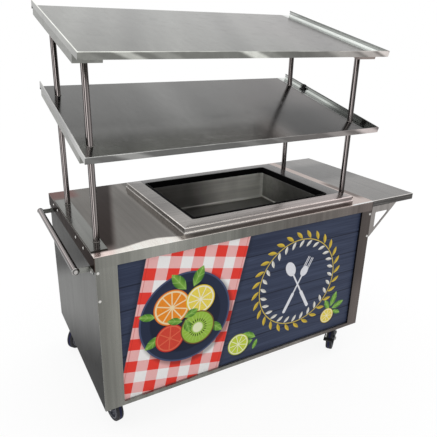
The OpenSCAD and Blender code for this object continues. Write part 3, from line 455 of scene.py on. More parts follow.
def counter_light(f):
    """Painted light: a painted highlight along the front edge swells towards the curb above a thin painted
    highlight line, a painted dark reflection crosses the sheet aslant, a band of painted shade lies by the
    end shelf, and the far back, the strip beside the curb and the right end are painted lighter
    """
    x, y, z = f.axes()
    back = y - counter_low[1]
    run = (x - counter_low[0]) / (curb_low[0] - counter_low[0])
    wave = 0.012 * (f.noise((0.12, 0.05, 1.0), 2.0, shift=9.0) - 0.5)
    belly = 0.031 + 0.028 * run.rise(0.25, 0.66) * run.rise(1.05, 0.70)
    front_highlight = (back + wave - belly).rise(0.009, -0.006) * run.rise(1.14, 0.84)
    line = back.rise(0.0075, 0.005)
    dull = off_dark_reflection(x, y).rise(0.060, 0.025) * back.rise(0.02, 0.10)
    far = back.rise(0.55, 0.75) * run.rise(1.0, 0.7)
    shade_by_end_shelf = abs(x - 0.578).rise(0.024, 0.012) * y.rise(-0.02, -0.12) * y.rise(-0.37, -0.30)
    right = x.rise(0.44, 0.48)
    beside_curb_light = run.rise(0.88, 0.94) * run.rise(1.03, 1.0)
    tone = (1 - 0.78 * dull) * (1 + 0.15 * far) * (1 - 0.60 * shade_by_end_shelf) * (1 + 2.2 * right)
    return tone * (1 + 3.4 * front_highlight + 1.6 * line * (1 - front_highlight) + 0.35 * beside_curb_light)


def counter_tint(f):
    """A reddish cast in the far left corner and on the painted dark reflection band"""
    x, y, z = f.axes()
    corner = x.rise(-0.66, -0.71) * y.rise(0.26, 0.33)
    return 0.75 * corner + 0.3 * off_dark_reflection(x, y).rise(0.06, 0.02), (1.10, 0.58, 0.54)


dress(brushed("counter_sheet", 0.215, "y", 0.17, streaks=0.16, clouds=0.20, graze=0.5, fade=counter_light,
              tint_by_place=counter_tint, cool=(1.05, 1.0, 0.94), warm=(1.12, 0.96, 0.90)), "counter_top")
dress(brushed("foot_plate_steel", 0.155, "y", 0.18), "left_foot_plate", "right_foot_plate")


# Raised curb, black strip and well
# The curb is a folded cover with a step all round, ground and brushed along its sides. A black
# extruded strip lines the opening, and below it hangs the well, pressed with coved corners.

def rounded_loop(low, high, radius, steps=7):
    """Points round a rectangle: each corner's centre plus the radius times (cos a, sin a)"""
    middle, half = (low + high) / 2, (high - low) / 2
    angles = np.linspace(0, np.pi / 2, steps) + np.arange(4)[:, None] * np.pi / 2
    signs = np.array([[1, 1], [-1, 1], [-1, -1], [1, -1]])
    centres = middle + signs * (half - radius)
    ring = centres[:, None] + radius * np.stack([np.cos(angles), np.sin(angles)], -1)
    return ring.reshape(-1, 2)


def grid_of(x, y, z):
    """Arrays of x, y and z spread over one grid of points"""
    return np.stack(np.broadcast_arrays(x, y, z), -1)


def skin(name, grids, body, finish, wrap=(True, True), sharp=40):
    """A piece made of grids of points, rows by columns, each four neighbours one face.

    A grid that wraps joins its last row or column to its first. Faces are turned so that
    the volume that they close, the sum of each corner product, comes out positive."""
    points, faces, start = [], [], 0
    for grid in grids:
        number = np.arange(grid.shape[0] * grid.shape[1]).reshape(grid.shape[:2])
        if wrap[0]:
            number = np.vstack([number, number[:1]])
        if wrap[1]:
            number = np.hstack([number, number[:, :1]])
        quads = np.stack([number[:-1, :-1], number[:-1, 1:], number[1:, 1:], number[1:, :-1]], -1)
        quads = quads.reshape(-1, 4)
        flat = grid.reshape(-1, 3)
        centred = flat - flat.mean(0)
        a, b, c, d = (centred[quads[:, k]] for k in range(4))
        volume = np.einsum("ij,ij->", a, np.cross(b, c)) + np.einsum("ij,ij->", a, np.cross(c, d))
        points.append(flat)
        faces.append((quads if volume > 0 else quads[:, ::-1]) + start)
        start += len(flat)
    mesh = bpy.data.meshes.new(name)
    mesh.from_pydata(np.vstack(points).tolist(), [], np.vstack(faces).tolist())
    mesh.polygons.foreach_set("use_smooth", np.ones(len(mesh.polygons), bool))
    mesh.set_sharp_from_angle(angle=math.radians(sharp))
    mesh.materials.append(finish.material)
    piece = bpy.data.objects.new(name, mesh)
    bpy.context.scene.collection.objects.link(piece)
    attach(piece, body)
    return piece


def bend(centre, radius, start, end, steps=5):
    """Offsets and heights along an arc about a centre, from one angle in degrees to another"""
    angles = np.radians(np.linspace(start, end, steps))
    return np.column_stack([centre[0] + radius * np.cos(angles), centre[1] + radius * np.sin(angles)])


gasket_low, gasket_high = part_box("well_gasket")
liner_low, liner_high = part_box("well_liner")
lip_w, lip_t, sheet, liner_flange = 0.010, 0.003, 0.002, 0.012
well_low = np.array(gasket_low[:2]) + lip_w
well_high = np.array(gasket_high[:2]) - lip_w
counter_z, curb_z, foot_z, step = counter_high[2], curb_high[2], 0.877, 0.005
curb_r, opening_r, strip_r, well_r = 0.005, 0.009, 0.006, 0.016
foot_r, crease_r, top_r, slack = 0.0025, 0.001, 0.003, 0.0002


def framed(profile, low, high, radius, least=0.0008):
    """A profile carried round a rectangle: its offsets shrink the rectangle, its heights lift it"""
    low, high = np.array(low[:2]), np.array(high[:2])
    return np.stack([grid_of(*rounded_loop(low + o, high - o, max(radius - o, least)).T, z)
                     for o, z in profile])


outside = np.vstack([[0, counter_z], bend((foot_r, foot_z - foot_r), foot_r, 180, 90),
                     bend((step - crease_r, foot_z + crease_r), crease_r, 270, 360, 3),
                     bend((step + top_r, curb_z - top_r), top_r, 180, 90)])
inside = outside[::-1] + [sheet, -sheet]
inside[-1] = [sheet, counter_z]
reach = lip_t + slack
opening = [[-reach, curb_z], [-reach, curb_z - sheet]]
curb_rows = [framed(outside, curb_low, curb_high, curb_r),
             framed(opening, well_low, well_high, opening_r - reach),
             framed(inside, curb_low, curb_high, curb_r)]


def curb_light(f):
    """Painted light: painted highlights on the front and left border of the top and on the ledge of the foot,
    painted light on the left wall with lines of painted shade at its bends, and painted shade on the other
    walls, the back left of the top, beside the black strip and at the right end
    """
    x, y, z = f.axes()
    front, left = y - curb_low[1], x - curb_low[0]
    top = z.rise(curb_z - 0.0035, curb_z - 0.001)
    speckle = f.noise(0.005, 3.0, shift=6.0)
    patch = f.noise((0.25, 0.02, 1.0), 2.0, shift=12.0)
    front_border_highlight = front.rise(0.0135, 0.0115) * (1 + 0.4 * x.rise(-0.25, -0.40))
    border_highlight = top * (front_border_highlight + 1.2 * left.rise(0.0095, 0.0080))
    ledge_highlight = abs(z - foot_z).rise(0.0018, 0.0010) * front.rise(0.0056, 0.0046)
    bend_shade_lines = abs(z - foot_z - 0.003).rise(0.0022, 0.0010) + abs(z - curb_z + 0.003).rise(0.0022, 0.0010)
    left_wall_light = left.rise(0.0056, 0.0050) * (0.6 * bend_shade_lines - 0.5)
    wall = (1 - top) * (left_wall_light + 0.25 * z.rise(foot_z, foot_z + 0.002))
    side = top * x.rise(-0.32, -0.37) * front.rise(0.10, 0.30)
    shade = top * (gasket_low[0] - x).rise(0.0050, 0.0030) * (gasket_low[1] - y).rise(0.0055, 0.0035)
    tone = (1 - wall) * (1 - 0.50 * side) * (1 - 0.92 * shade) * (1 - 0.22 * x.rise(0.38, 0.44))
    return (0.84 + 0.32 * speckle) * tone * (1 + (1.2 + 1.2 * patch) * border_highlight + 2.2 * ledge_highlight)


curb_finish = brushed("curb_sheet", 0.300, "x", 0.24, fade=curb_light, warm=(1.12, 0.955, 0.92),
                      cool=(1.05, 1.0, 0.94), middle=-0.1)
curb = skin("curb_cover", [np.concatenate(curb_rows)], "cabinet", curb_finish)
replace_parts(curb, "well_curb")

f = Finish("black_vinyl")
grain = f.noise(0.0012, 3.0)
dust = f.noise(0.05, 4.0, shift=3.0).rise(0.55, 0.8)
f.surface(f.mix(0.25 * dust + 0.2 * grain, (0.0020, 0.0020, 0.0022), (0.008, 0.008, 0.009)),
          0.60 + 0.2 * grain, 0.0, height=grain, depth=0.00004, constants={"Specular IOR Level": 0.05})
strip_top, strip_foot = gasket_high[2], liner_high[2]
inner_r, outer_r = 0.0015, 0.0014
strip = np.vstack([[0, strip_foot], bend((-inner_r, strip_top - inner_r), inner_r, 0, 90, 4),
                   bend((-lip_w + outer_r, strip_top - outer_r), outer_r, 90, 180, 4),
                   [-lip_w, curb_z], [-lip_t, curb_z], [-lip_t, strip_foot]])
strip_rows = framed(strip, well_low, well_high, strip_r)
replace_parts(skin("breaker_strip", [strip_rows], "cabinet", f), "well_gasket")


def middle_of(name):
    """The centre of a node's box"""
    return [(a + b) / 2 for a, b in zip(*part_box(name))]


drain_at = middle_of("drain_fitting")
floor_z, cove, drain_hole = liner_low[2] + sheet, 0.012, 0.030
brim_r, wall_ring, floor_fall = 0.003, 0.10, 0.003
wall = np.vstack([[-liner_flange, strip_foot], bend((-brim_r, strip_foot - brim_r), brim_r, 90, 0, 4),
                  [0, floor_z + wall_ring], bend((cove, floor_z + cove + floor_fall), cove, 180, 270, 7)])
pan_rows = framed(wall, well_low, well_high, well_r)
rim_ring = pan_rows[-1]
turns = np.arctan2(rim_ring[:, 1] - drain_at[1], rim_ring[:, 0] - drain_at[0])
drain_ring = grid_of(drain_at[0] + drain_hole * np.cos(turns), drain_at[1] + drain_hole * np.sin(turns),
                     floor_z)
share = np.linspace(0, 1, 9)[1:, None, None]
pan_rows = np.concatenate([pan_rows, rim_ring * (1 - share) + drain_ring * share])
outer_wall = wall.copy()
outer_wall[0] = [-liner_flange, strip_foot - sheet]
outer_wall[1:] += [-sheet * 0.6, -sheet * 0.8]
under = framed(outer_wall, well_low, well_high, well_r + sheet)
under_drain = drain_ring - [0, 0, sheet]
under = np.concatenate([under, under[-1] * (1 - share) + under_drain * share])


def well_pan_light(f):
    """Painted light: the back wall is painted light towards its right, the right wall lighter towards the
    back, the rest dark with painted shade on the left of the floor, and painted highlights along the
    floor coves and up the corners
    """
    x, y, z = f.axes()
    cove_highlight = abs(z - floor_z - 0.009).rise(0.0050, 0.0015)
    corner = [abs(line - edge).rise(0.009, 0.003) for line, edge in
              ((x, well_high[0]), (y, well_high[1]), (x, well_low[0]), (y, well_low[1]))]
    # painted highlight lines up the four corners of the well
    post = corner[0] * corner[1] + corner[1] * corner[2] + corner[2] * corner[3] + corner[3] * corner[0]
    drift = f.noise((0.10, 0.12, 0.2), 3.0, shift=8.0)
    back_wall = y.rise(well_high[1] - 0.020, well_high[1] - 0.008)
    back_wall_light = 0.30 + 1.6 * (x + 0.25 * (z - 0.80)).rise(-0.10, 0.16) + 1.6 * x.rise(0.20, 0.33)
    right_wall_light = x.rise(well_high[0] - 0.012, well_high[0] - 0.004) * (0.5 * y.rise(0.0, 0.22))
    rest = (0.26 + right_wall_light) * (1 - 0.5 * x.rise(0.02, -0.15) * z.rise(floor_z + 0.02, floor_z + 0.01))
    level = back_wall * back_wall_light + (1 - back_wall) * rest
    level = level * (0.7 + 0.6 * drift) * (1 + 1.8 * cove_highlight + 1.2 * post)
    brightest = 2.1
    return level.math("MINIMUM", level, brightest)


well_finish = brushed("well_sheet", 0.42, "x", 0.30, streaks=0.3, clouds=0.5, fade=well_pan_light, metallic=0.15,
                      cool=(1.04, 1.0, 0.93), warm=(1.0, 1.0, 0.92), middle=0.1)
well = skin("well_pan", [np.concatenate([pan_rows, under[::-1]])], "cabinet", well_finish)
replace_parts(well, "well_liner")

f = Finish("well_foam")
cells = f.node("ShaderNodeTexVoronoi", {"feature": "F1"}, {"Vector": f.place, "Scale": 420.0}, "Distance")
skin_tone = f.noise(0.04, 3.0)
f.surface(f.mix(0.5 * skin_tone + 0.5 * cells, (0.62, 0.50, 0.24), (0.83, 0.76, 0.50)), 0.85, 0.0,
          height=cells, depth=0.0006)
dress(f, "well_insulation")

f = Finish("spangled_zinc")
spangle = f.node("ShaderNodeTexVoronoi", {"feature": "F1"}, {"Vector": f.place, "Scale": 75.0}, "Color")
facet = f.node("ShaderNodeSeparateColor", (), {0: spangle})
frost = f.noise(0.002, 3.0)
f.surface(f.shade((0.97, 1.0, 1.03), 0.30 * (0.7 + 0.45 * facet + 0.2 * frost)), 0.32 + 0.22 * facet,
          height=frost + facet, depth=0.00005)
dress(f, "well_jacket")


# Drain and its valve
# A strainer flange and pipe leave the well's floor, then a cast brass ball valve with a bright
# ball, an outlet pipe, and a steel lever with a blue dipped grip.

dress(turned_metal("drain_chrome", 0.55, 0.16), "drain_fitting", "drain_outlet", "drain_ball")
f = Finish("cast_brass")
skin_of_cast = f.noise(0.0016, 4.0)
tarnish = f.noise(0.018, 4.0, shift=2.0).rise(0.4, 0.7)
f.surface(f.mix(tarnish, (0.60, 0.44, 0.17), (0.30, 0.19, 0.07)), 0.30 + 0.25 * tarnish + 0.1 * skin_of_cast,
          height=skin_of_cast, depth=0.00015)
dress(f, "drain_valve")
dress(turned_metal("lever_steel", 0.42, 0.3), "drain_lever")
lever_low, lever_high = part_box("drain_lever")
lever_t, lever_end_r = 0.003, 0.011
lever_mid = (lever_low[1] + lever_t / 2, middle_of("drain_lever")[2])


def grip_skin(outer, start=0.070, steps=12):
    """One skin of the grip: flat ovals along the lever whose width falls to nothing round its end

    The width is R cos(q) at R sin(q) past the centre of the lever's round end, and the section
    is (T sin(s)^0.5, W cos(s)^0.5) with the signs kept."""
    s = np.linspace(0, 2 * np.pi, 48, endpoint=False)
    thick, radius = (0.0028, 0.0124) if outer else (0.0016, 0.0111)
    end = lever_high[0] - lever_end_r
    q = np.linspace(0, np.pi / 2, steps)
    straight = np.linspace(end - start, end, 10)[:-1]
    along = np.concatenate([straight, end + radius * np.sin(q)])[:, None]
    width = np.concatenate([np.full(len(straight), radius), radius * np.cos(q)])[:, None]
    y = thick * np.sign(np.sin(s)) * np.abs(np.sin(s)) ** 0.5
    z = np.sign(np.cos(s)) * np.abs(np.cos(s)) ** 0.5
    return grid_of(along, lever_mid[0] + y, lever_mid[1] + z * width)


f = Finish("dipped_vinyl")
drips, dimples = f.noise(0.008, 3.0), f.noise(0.0009, 2.0, shift=3.0)
f.surface(f.mix(drips, (0.008, 0.040, 0.190), (0.018, 0.075, 0.300)), 0.32 + 0.15 * dimples, 0.0,
          height=drips + 0.3 * dimples, depth=0.0002)
grip_rows = np.concatenate([grip_skin(True), grip_skin(False)[::-1]])
skin("lever_grip", [grip_rows], "drain_handle", f)


# Casters
# Zinc plated pressed forks and plates with a pale rainbow film, moulded grey cores on steel axles,
# ribbed black rubber treads with a navy stripe, and black pedals on the front pair. The plates are
# bolted under the channels, and each fork swivels on its king pin.

f = Finish("zinc_plate")
film = f.noise(0.03, 4.0)
pits = f.noise(0.0022, 3.0, shift=3.0)
f.surface(f.shade(f.mix(film, (0.92, 0.97, 1.05), (1.05, 1.0, 0.90)), 0.36 * (0.7 + 0.6 * pits)),
          0.28 + 0.2 * film, height=pits, depth=0.00006)
corners = ("front_left", "front_right", "back_left", "back_right")
dress(f, "caster_plates", *(c + "_fork" for c in corners))
dress(turned_metal("caster_bolt_steel", 0.5, 0.24), "caster_bolts", *(c + "_axle" for c in corners))

f = Finish("moulded_core")
pebble = f.noise(0.0009, 2.0)
scuff = f.noise(0.012, 4.0, shift=5.0).rise(0.52, 0.72)
f.surface(f.mix(scuff, (0.060, 0.066, 0.085), (0.20, 0.205, 0.22)), 0.42 + 0.2 * pebble, 0.0, height=pebble,
          depth=0.00005)
dress(f, *(c + "_wheel" for c in corners))


def tread(centre, turn, cuts=60):
    """A tyre turned about its axle: a rounded band, four grooves round it and notches at its edges

    Across the band a = 16 cos(s)^0.5 and the radius is 57 + 6.45 sin(s)^0.7, in millimetres and with
    the signs kept, less 0.8 in a groove at a = -9, -3, 3, 9 and 0.7 in each notch past a = 11."""
    s = np.linspace(0, 2 * np.pi, 112, endpoint=False)[:, None]
    t = np.linspace(0, 2 * np.pi, 240, endpoint=False)[None, :]
    a = 16.0 * np.sign(np.cos(s)) * np.abs(np.cos(s)) ** 0.5
    radius = 57.0 + 6.45 * np.sign(np.sin(s)) * np.abs(np.sin(s)) ** 0.7
    outer = np.sin(s) > 0.2
    for groove in (-9.0, -3.0, 3.0, 9.0):
        radius = radius - 0.8 * outer * np.exp(-((a - groove) / 0.8) ** 2)
    radius = radius - 0.7 * outer * (np.abs(a) > 11) * (np.cos(cuts * t) > 0.5)
    a, radius = a / 1000, radius / 1000
    out = radius * np.cos(t)
    return grid_of(centre[0] - a * math.sin(turn) + out * math.cos(turn),
                   centre[1] + a * math.cos(turn) + out * math.sin(turn), centre[2] + radius * np.sin(t))


axle_turns = (100, 217, 220, 150)
for name, degrees in zip(corners, axle_turns):
    centre, turn = middle_of(name + "_tyre"), math.radians(degrees)
    f = Finish(name + "_rubber")
    x, y, z = f.axes()
    a = (y - centre[1]) * math.cos(turn) - (x - centre[0]) * math.sin(turn)
    wear = f.noise(0.012, 3.0, shift=2.0)
    grit = f.noise(0.0012, 3.0)
    black = f.mix(wear, (0.012, 0.012, 0.014), (0.060, 0.060, 0.066))
    navy = f.mix(wear, (0.006, 0.007, 0.030), (0.022, 0.024, 0.085))
    f.surface(f.mix(abs(a + 0.001).rise(0.0052, 0.0040), black, navy), 0.55 + 0.2 * grit, 0.0,
              height=grit, depth=0.00008, constants={"Specular IOR Level": 0.2})
    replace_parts(skin(name + "_tread", [tread(centre, turn)], name + "_roller", f), name + "_tyre")

f = Finish("pedal_paint")
chips = f.noise(0.006, 4.0).rise(0.62, 0.68)
orange = f.noise(0.0014, 2.0, shift=2.0)
f.surface(f.mix(chips, (0.012, 0.012, 0.015), (0.10, 0.095, 0.09)), 0.36 + 0.2 * orange, 0.15 + 0.6 * chips,
          height=orange, depth=0.00005)
dress(f, "front_left_pedal", "front_right_pedal")


# Push handle
# A polished tube with domed caps, carried by two flat arms that are welded to it and bolted
# through the side panel by their feet.

handle_low, handle_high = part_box("handle_tube")
handle_middle = middle_of("handle_tube")[::2]
tube_r = (handle_high[0] - handle_low[0]) / 2


def drawn_tube(name, along, middle, facing, reflection_bands):
    """Polished tube with painted reflections: stripes of light run along it, each at its place across,
    half-width and tone

    Places across run from -1 to 1, square to the facing angle, at the surface of the tube."""
    f = Finish(name)
    places = dict(zip("xyz", f.axes()))
    first, second = (places[a] - m for a, m in zip([a for a in "xyz" if a != along], middle))
    across = (first * math.sin(facing) - second * math.cos(facing)) / tube_r
    wander = 0.03 * (f.noise(tuple(0.35 if a == along else 10.0 for a in "xyz"), 2.0) - 0.5)
    line = f.noise(tuple(1.2 if a == along else 0.0050 for a in "xyz"), 1.0, shift=4.0)
    grey = 0.04
    for at, half, tone in reflection_bands:
        grey = grey + tone * abs(across + wander - at).rise(half, 0.0)
    return f.surface(f.shade((1.09, 0.975, 0.95), grey * (0.85 + 0.3 * line)), 0.16 + 0.10 * line,
                     height=line, depth=0.00002)


def tube_skin(middle, low, high, slope=0.0, wall=0.0016, around=72, edge=0.0004):
    """The outside and the bore of a tube with broken edges: circles r (cos t, sin t) about its middle

    The first end is square and the other is cut along a plane that rises by the slope."""
    t = np.linspace(0, 2 * np.pi, around, endpoint=False)
    rows = []
    for r, far, inset in ((tube_r - edge, 0, 0), (tube_r, 0, edge), (tube_r, 1, edge), (tube_r - edge, 1, 0),
                          (tube_r - wall, 1, 0), (tube_r - wall, 0, 0)):
        a, b = r * np.cos(t), r * np.sin(t)
        c = high - slope * (tube_r - b) - inset if far else low + inset
        rows.append(grid_of(middle[0] + a, middle[1] + b, c))
    return np.stack(rows)


handle_steel = drawn_tube("handle_tube_steel", "y", handle_middle, math.radians(112),
                          ((-0.58, 0.24, 0.10), (-0.22, 0.20, 0.50), (0.12, 0.34, 0.24)))
lying = tube_skin(handle_middle, handle_low[1], handle_high[1])[..., [0, 2, 1]]
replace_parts(skin("handle_bar", [lying], "cabinet", handle_steel), "handle_tube")

f = Finish("cap_steel")
x, y, z = f.axes()
out = f.away(f.seen_from(f.point(x, z), handle_middle))
rings = f.noise(0.0007, 1.0)
dull = f.noise(0.006, 3.0, shift=2.0)
# painted reflection: the outer part of each cap's dome is darkened into a ring round its light middle
ring = out.rise(0.0075, 0.0090) * out.rise(0.0132, 0.0122)
f.surface(f.shade((1.0, 0.97, 0.94), 0.46 * (0.75 + 0.2 * rings + 0.35 * dull) * (1 - 0.72 * ring)),
          0.2 + 0.12 * dull, height=rings, depth=0.00004)
dress(f, "handle_caps")
dress(brushed("arm_steel", 0.25, "x", 0.28), "handle_arms")


# End shelf and brackets
# The shelf on the right end is a folded tray, brushed along the cart's depth like the counter,
# on two plates with a triangular hole and folded flanges.

def end_shelf_light(f):
    """Painted light: a painted highlight along the front edge, painted shade on the skirt below it broken by
    a few light streaks, and a darker band across the middle of the sheet
    """
    x, y, z = f.axes()
    skirt = z.rise(counter_z - 0.0012, counter_z - 0.0022)
    streak = f.noise((0.30, 1.0, 0.0035), 2.0, shift=3.0).rise(0.52, 0.66)
    line = (y - counter_low[1]).rise(0.0055, 0.0040) * (1 - skirt)
    dull = abs(y - 0.12).rise(0.20, 0.10) * (1 - skirt)
    return (1 - 0.55 * skirt) * (1 + 1.1 * skirt * streak) * (1 - 0.52 * dull) * (1 + 2.9 * line)


dress(brushed("end_shelf_sheet", 0.156, "y", 0.20, streaks=0.3, fade=end_shelf_light,
              warm=(1.04, 0.99, 0.95)), "end_shelf")
dress(brushed("bracket_sheet", 0.25, "z", 0.34, warm=(1.05, 0.98, 0.93)), "shelf_brackets")


# Uprights
# Four polished tubes stand on the foot plates and pass through the lower shelf up to the upper
# shelf's channels. Each is welded all round where it meets a plate or a sheet.

slope_angle = math.radians(14.8)
tilt, cos_tilt, sin_tilt = math.tan(slope_angle), math.cos(slope_angle), math.sin(slope_angle)
shelf_front, lower_z = counter_low[1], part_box("lower_shelf")[0][2]
# painted reflections: stripes of light on the left and right posts, at place across, half-width and tone
left_reflection_bands = ((-0.85, 0.25, 0.12), (-0.50, 0.22, 0.26), (-0.20, 0.16, 0.12), (0.15, 0.14, 0.85),
              (0.62, 0.16, 0.46))
right_reflection_bands = ((-0.20, 0.20, 0.20), (0.12, 0.14, 0.80), (0.42, 0.14, 0.08), (0.78, 0.20, 0.26))
facings = (-104, -136, -100, -127)
weld_rise = 0.0008


def bead(middle, radius, slope=0.0, thick=0.0019, ripples=34, across=10):
    """A weld bead round an upright: a ring whose section swells with each ripple of the weld

    The ring is middle plus radius times (cos t, sin t), and rises by the slope times y. Its section
    is a circle whose radius is thick times 1 + 0.16 cos(ripples t) + 0.07 sin(5 t and a shift)."""
    t = np.linspace(0, 2 * np.pi, ripples * 4, endpoint=False)[:, None]
    s = np.linspace(0, 2 * np.pi, across, endpoint=False)[None, :]
    swell = thick * (1 + 0.16 * np.cos(ripples * t) + 0.07 * np.sin(5 * t + middle[0] * 40))
    reach = radius + swell * np.cos(s)
    x, y = reach * np.cos(t), reach * np.sin(t)
    return grid_of(middle[0] + x, middle[1] + y, middle[2] + slope * y + swell * np.sin(s))


foot_beads, shelf_beads = [], []
for corner, facing in zip(corners, facings):
    name = corner + "_upright"
    low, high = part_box(name)
    at = middle_of(name)[:2]
    reflection_bands = left_reflection_bands if "left" in corner else right_reflection_bands
    steel = drawn_tube(name + "_steel", "z", at, math.radians(facing), reflection_bands)
    tube = skin(corner + "_post", [tube_skin(at, low[2], high[2], tilt)], "cabinet", steel)
    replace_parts(tube, name)
    foot_beads.append(bead((*at, low[2] + weld_rise), tube_r))
    shelf_top = lower_z + (at[1] - shelf_front) * tilt + sheet / cos_tilt
    shelf_beads.append(bead((*at, shelf_top), tube_r, tilt))

f = Finish("weld_metal")
scale = f.noise(0.0018, 3.0)
heat = f.noise(0.01, 2.0, shift=2.0)
f.surface(f.shade(f.mix(heat, (1.0, 0.97, 0.93), (0.96, 0.88, 0.80)), 0.24 * (0.7 + 0.6 * scale)),
          0.3 + 0.2 * heat, height=scale, depth=0.0001)
skin("upright_foot_welds", foot_beads, "cabinet", f)
skin("upright_shelf_welds", shelf_beads, "cabinet", f)


# Display shelves
# Two sloping sheets, brushed from front to back, with a rolled rim on the front and both ends and
# closed channels below. The upper one takes the light; the lower one lies in its shade, and a black
# clip sits on its right rim.

def shelf_light(shelf_z, shear, sheen, glints, face_level, near, dusk, end_glow, lit):
    """Painted light: soft bands of painted sheen on the sheet and painted glints on the front rim, each at x,
    half-width and gain

    The bands lean by shear, and face_level is the rim's tone between its glints. The sheet is
    lighter by near where the other shelf's painted reflection lies, and darker by dusk beside that. The
    right rim and its painted reflection in the sheet glow by end_glow in even lines, from the first place
    of lit on. The top of the rim gets a painted highlight, uneven along it and brighter at its left end."""
    def fade(f):
        x, y, z = f.axes()
        back, up = y - shelf_front, z - shelf_z
        slope, lift = back * cos_tilt + up * sin_tilt, up * cos_tilt - back * sin_tilt
        left, right = x - shelf_low[0], shelf_high[0] - x
        face, top = slope.rise(0.0014, 0.0002), lift.rise(0.0225, 0.0245)
        across = x - shear * back + 0.02 * f.noise(0.2, 2.0, shift=15.0)
        mirrored = back.rise(0.30, 0.06) * x.rise(0.14, 0.0)
        beside = back.rise(0.46, 0.22) * x.rise(0.06, 0.18)
        light = 1.0 + near * mirrored - dusk * beside
        for at, half, gain in sheen:
            light = light + gain * abs(across - at).rise(half, 0.0)
        image = right.rise(0.058, 0.050)
        glow = image * back.rise(*lit)
        rim = lift.rise(0.0030, 0.0045)
        dark_lines = 0.6 * abs(lift - 0.0100).rise(0.0026, 0.0008) + 0.42 * lift.rise(0.0110, 0.0130)
        dark_lines = dark_lines + 0.5 * abs(right - 0.044).rise(0.005, 0.001) * (1 - rim)
        dark_lines = dark_lines + 0.4 * lift.rise(0.0195, 0.0215)
        light = light * (1 + 4.5 * (image - glow)) * (1 - 0.6 * glow * rim)
        light = light + end_glow * glow * (1 - dark_lines)
        light = light + 2.6 * image * abs(lift - 0.0050).rise(0.0016, 0.0004)
        shine = face_level
        for at, half, gain in glints:
            shine = shine + gain * abs(x - at + 2.5 * lift).rise(half, 0.3 * half)
        # painted highlight along the top of the rim, uneven along it and brighter towards the left end
        uneven_highlight = f.noise((0.10, 0.10, 1.0), 2.0, shift=13.0).rise(0.40, 0.60)
        ends = 1.3 * left.rise(0.006, 0.004) + 1.2 * x.rise(-0.50, -0.60)
        hem = top * (1 - image) * (0.5 + 0.6 * uneven_highlight + ends)
        return light + face * (shine - light) + hem
    return fade


def shelf_end_tint(f):
    """Cooler cast on the right rim and on its painted reflection in the sheet"""
    x, y, z = f.axes()
    return x.rise(0.490, 0.500) * (y - shelf_front).rise(0.002, 0.010), (0.97, 1.0, 0.97)


shelf_low, shelf_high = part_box("upper_shelf")
upper_light = shelf_light(
    shelf_low[2], shear=0.35, face_level=0.90, near=0.0, dusk=0.0, end_glow=3.4, lit=(-0.2, -0.1),
    sheen=((-0.86, 0.09, 0.25), (-0.62, 0.09, -0.24), (-0.44, 0.09, 0.16), (-0.17, 0.10, -0.26),
           (0.04, 0.12, -0.14), (0.28, 0.24, -0.42)),
    glints=((-0.76, 0.06, 0.35), (-0.61, 0.045, 1.3), (-0.05, 0.05, 0.3), (-0.48, 0.06, 0.45),
            (-0.12, 0.055, 2.3), (0.10, 0.10, -0.15), (0.33, 0.10, 0.85), (0.47, 0.06, 1.2),
            (0.57, 0.05, 2.4)))
dress(brushed("upper_shelf_sheet", 0.208, "y", 0.20, streaks=0.16, clouds=0.14, fade=upper_light,
              tint_by_place=shelf_end_tint, warm=(1.08, 0.965, 0.93), middle=0.35), "upper_shelf")
lower_light = shelf_light(
    lower_z, shear=0.1, face_level=1.30, near=2.5, dusk=0.55, end_glow=6.0, lit=(0.24, 0.36),
    sheen=((-0.33, 0.15, 0.50), (0.26, 0.30, -0.34), (-0.62, 0.10, -0.05)),
    glints=((-0.77, 0.04, 0.3), (-0.61, 0.07, 1.7), (-0.12, 0.05, 0.5), (0.02, 0.03, 0.5), (0.34, 0.08, 1.1),
            (0.52, 0.08, 3.4)))
dress(brushed("lower_shelf_sheet", 0.108, "y", 0.18, streaks=0.12, clouds=0.12, fade=lower_light,
              tint_by_place=shelf_end_tint, cool=(1.0, 1.0, 0.97), warm=(1.12, 0.96, 0.93), middle=0.3), "lower_shelf")
dress(brushed("shelf_channel_sheet", 0.24, "y", 0.34), "lower_shelf_channels", "upper_shelf_channels")

f = Finish("clip_plastic")
grain = f.noise(0.0012, 3.0)
f.surface(f.mix(grain, (0.004, 0.004, 0.0045), (0.012, 0.012, 0.013)), 0.5 + 0.2 * grain, 0.0, height=grain,
          depth=0.00005)


def clip_part(section, start=0.547, length=0.020):
    """A section drawn out along the right rim, from start metres up the slope

    The section's points are millimetres to the right of the rim and above the sheet. Its first and
    last rings shrink to its middle, which closes the ends."""
    section = np.array(section) / 1000
    rings = []
    for back, share in ((start, 0), (start, 1), (start + length, 1), (start + length, 0)):
        across, lift = (section * share + section.mean(0) * (1 - share)).T
        rings.append(grid_of(shelf_high[0] + across, shelf_front + back * cos_tilt - lift * sin_tilt,
                             lower_z + back * sin_tilt + lift * cos_tilt))
    return np.stack(rings)


saddle = ((1.6, 14), (1.6, 25.6), (0.6, 26.8), (-5.6, 26.8), (-6.6, 25.6), (-6.6, 15), (-5.2, 15),
          (-5.2, 25.4), (0.1, 25.5), (0.1, 14))
pad = ((-6.8, 12), (-6.8, 5.6), (-24, 5.2), (-25, 3.6), (-24, 2.2), (-3, 2.2), (-2.0, 3.4), (-2.0, 12))
skin("shelf_clip", [clip_part(saddle), clip_part(pad)], "cabinet", f,
     wrap=(False, True), sharp=25)


# Floor, light and camera
# A plain white floor that keeps a soft shadow, a white sky, one large soft lamp above the cart,
# and the camera where the photograph was taken.

def seen_rays(f):
    """1 for rays from the camera, a mirror or glass"""
    eye, mirror, glass = (f.node("ShaderNodeLightPath", out="Is " + kind + " Ray")
                          for kind in ("Camera", "Glossy", "Transmission"))
    return eye.math("MAXIMUM", eye.math("MAXIMUM", eye, mirror), glass)


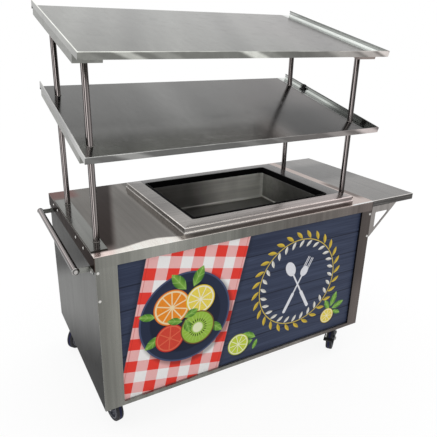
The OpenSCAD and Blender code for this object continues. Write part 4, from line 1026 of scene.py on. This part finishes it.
world = bpy.data.worlds.new("studio_sky")
sky = Finish("studio_sky", world)
bpy.context.scene.world = world
sky.shader.inputs["Color"].default_value = (1, 1, 1, 1)
sky.tree.links.new((0.85 + 0.15 * seen_rays(sky)).socket, sky.shader.inputs["Strength"])

floor_mesh = bpy.data.meshes.new("floor")
edge = 30.0
floor_mesh.from_pydata([(-edge, -edge, 0), (edge, -edge, 0), (edge, edge, 0), (-edge, edge, 0)], [],
                       [(0, 1, 2, 3)])
floor = bpy.data.objects.new("floor", floor_mesh)
bpy.context.scene.collection.objects.link(floor)
paper = Finish("white_paper").surface((0.9, 0.9, 0.9, 1), 1.0, 0.0)
matt = Wire(paper, paper.shader.outputs[0])
glow = paper.node("ShaderNodeEmission", (), {"Strength": 1.04})
blend = paper.node("ShaderNodeMixShader", (), {0: 0.85 * seen_rays(paper), 1: matt, 2: glow})
paper.tree.links.new(blend.socket, paper.tree.nodes["Material Output"].inputs["Surface"])
floor_mesh.materials.append(paper.material)

lamp_data = bpy.data.lights.new("soft_lamp", "AREA")
lamp_data.shape, lamp_data.size, lamp_data.energy = "DISK", 4.0, 30.0
lamp = bpy.data.objects.new("soft_lamp", lamp_data)
lamp.location = (0.3, 0.5, 4.0)
bpy.context.scene.collection.objects.link(lamp)

eye = (-1.18075, -1.9122, 1.6134)
yaw, pitch, roll = 0.4939, -0.3486, 0.0129
view_way = np.array([math.sin(yaw) * math.cos(pitch), math.cos(yaw) * math.cos(pitch), math.sin(pitch)])
level_right = np.array([math.cos(yaw), -math.sin(yaw), 0.0])
level_up = np.cross(level_right, view_way)
right = level_right * math.cos(roll) + level_up * math.sin(roll)
up = level_up * math.cos(roll) - level_right * math.sin(roll)
camera_data = bpy.data.cameras.new("photo_camera")
camera_data.sensor_width, camera_data.sensor_fit = 36.0, "HORIZONTAL"
camera_data.lens = 38.30
camera_data.shift_x, camera_data.shift_y = 0.0389, -0.0284
camera = bpy.data.objects.new("photo_camera", camera_data)
bpy.context.scene.collection.objects.link(camera)
axes = zip(right, up, -view_way, eye)
camera.matrix_world = Matrix([*axes, (0, 0, 0, 1)])
bpy.context.scene.camera = camera
bpy.context.scene.view_settings.view_transform = "Standard"

bpy.context.view_layer.update()
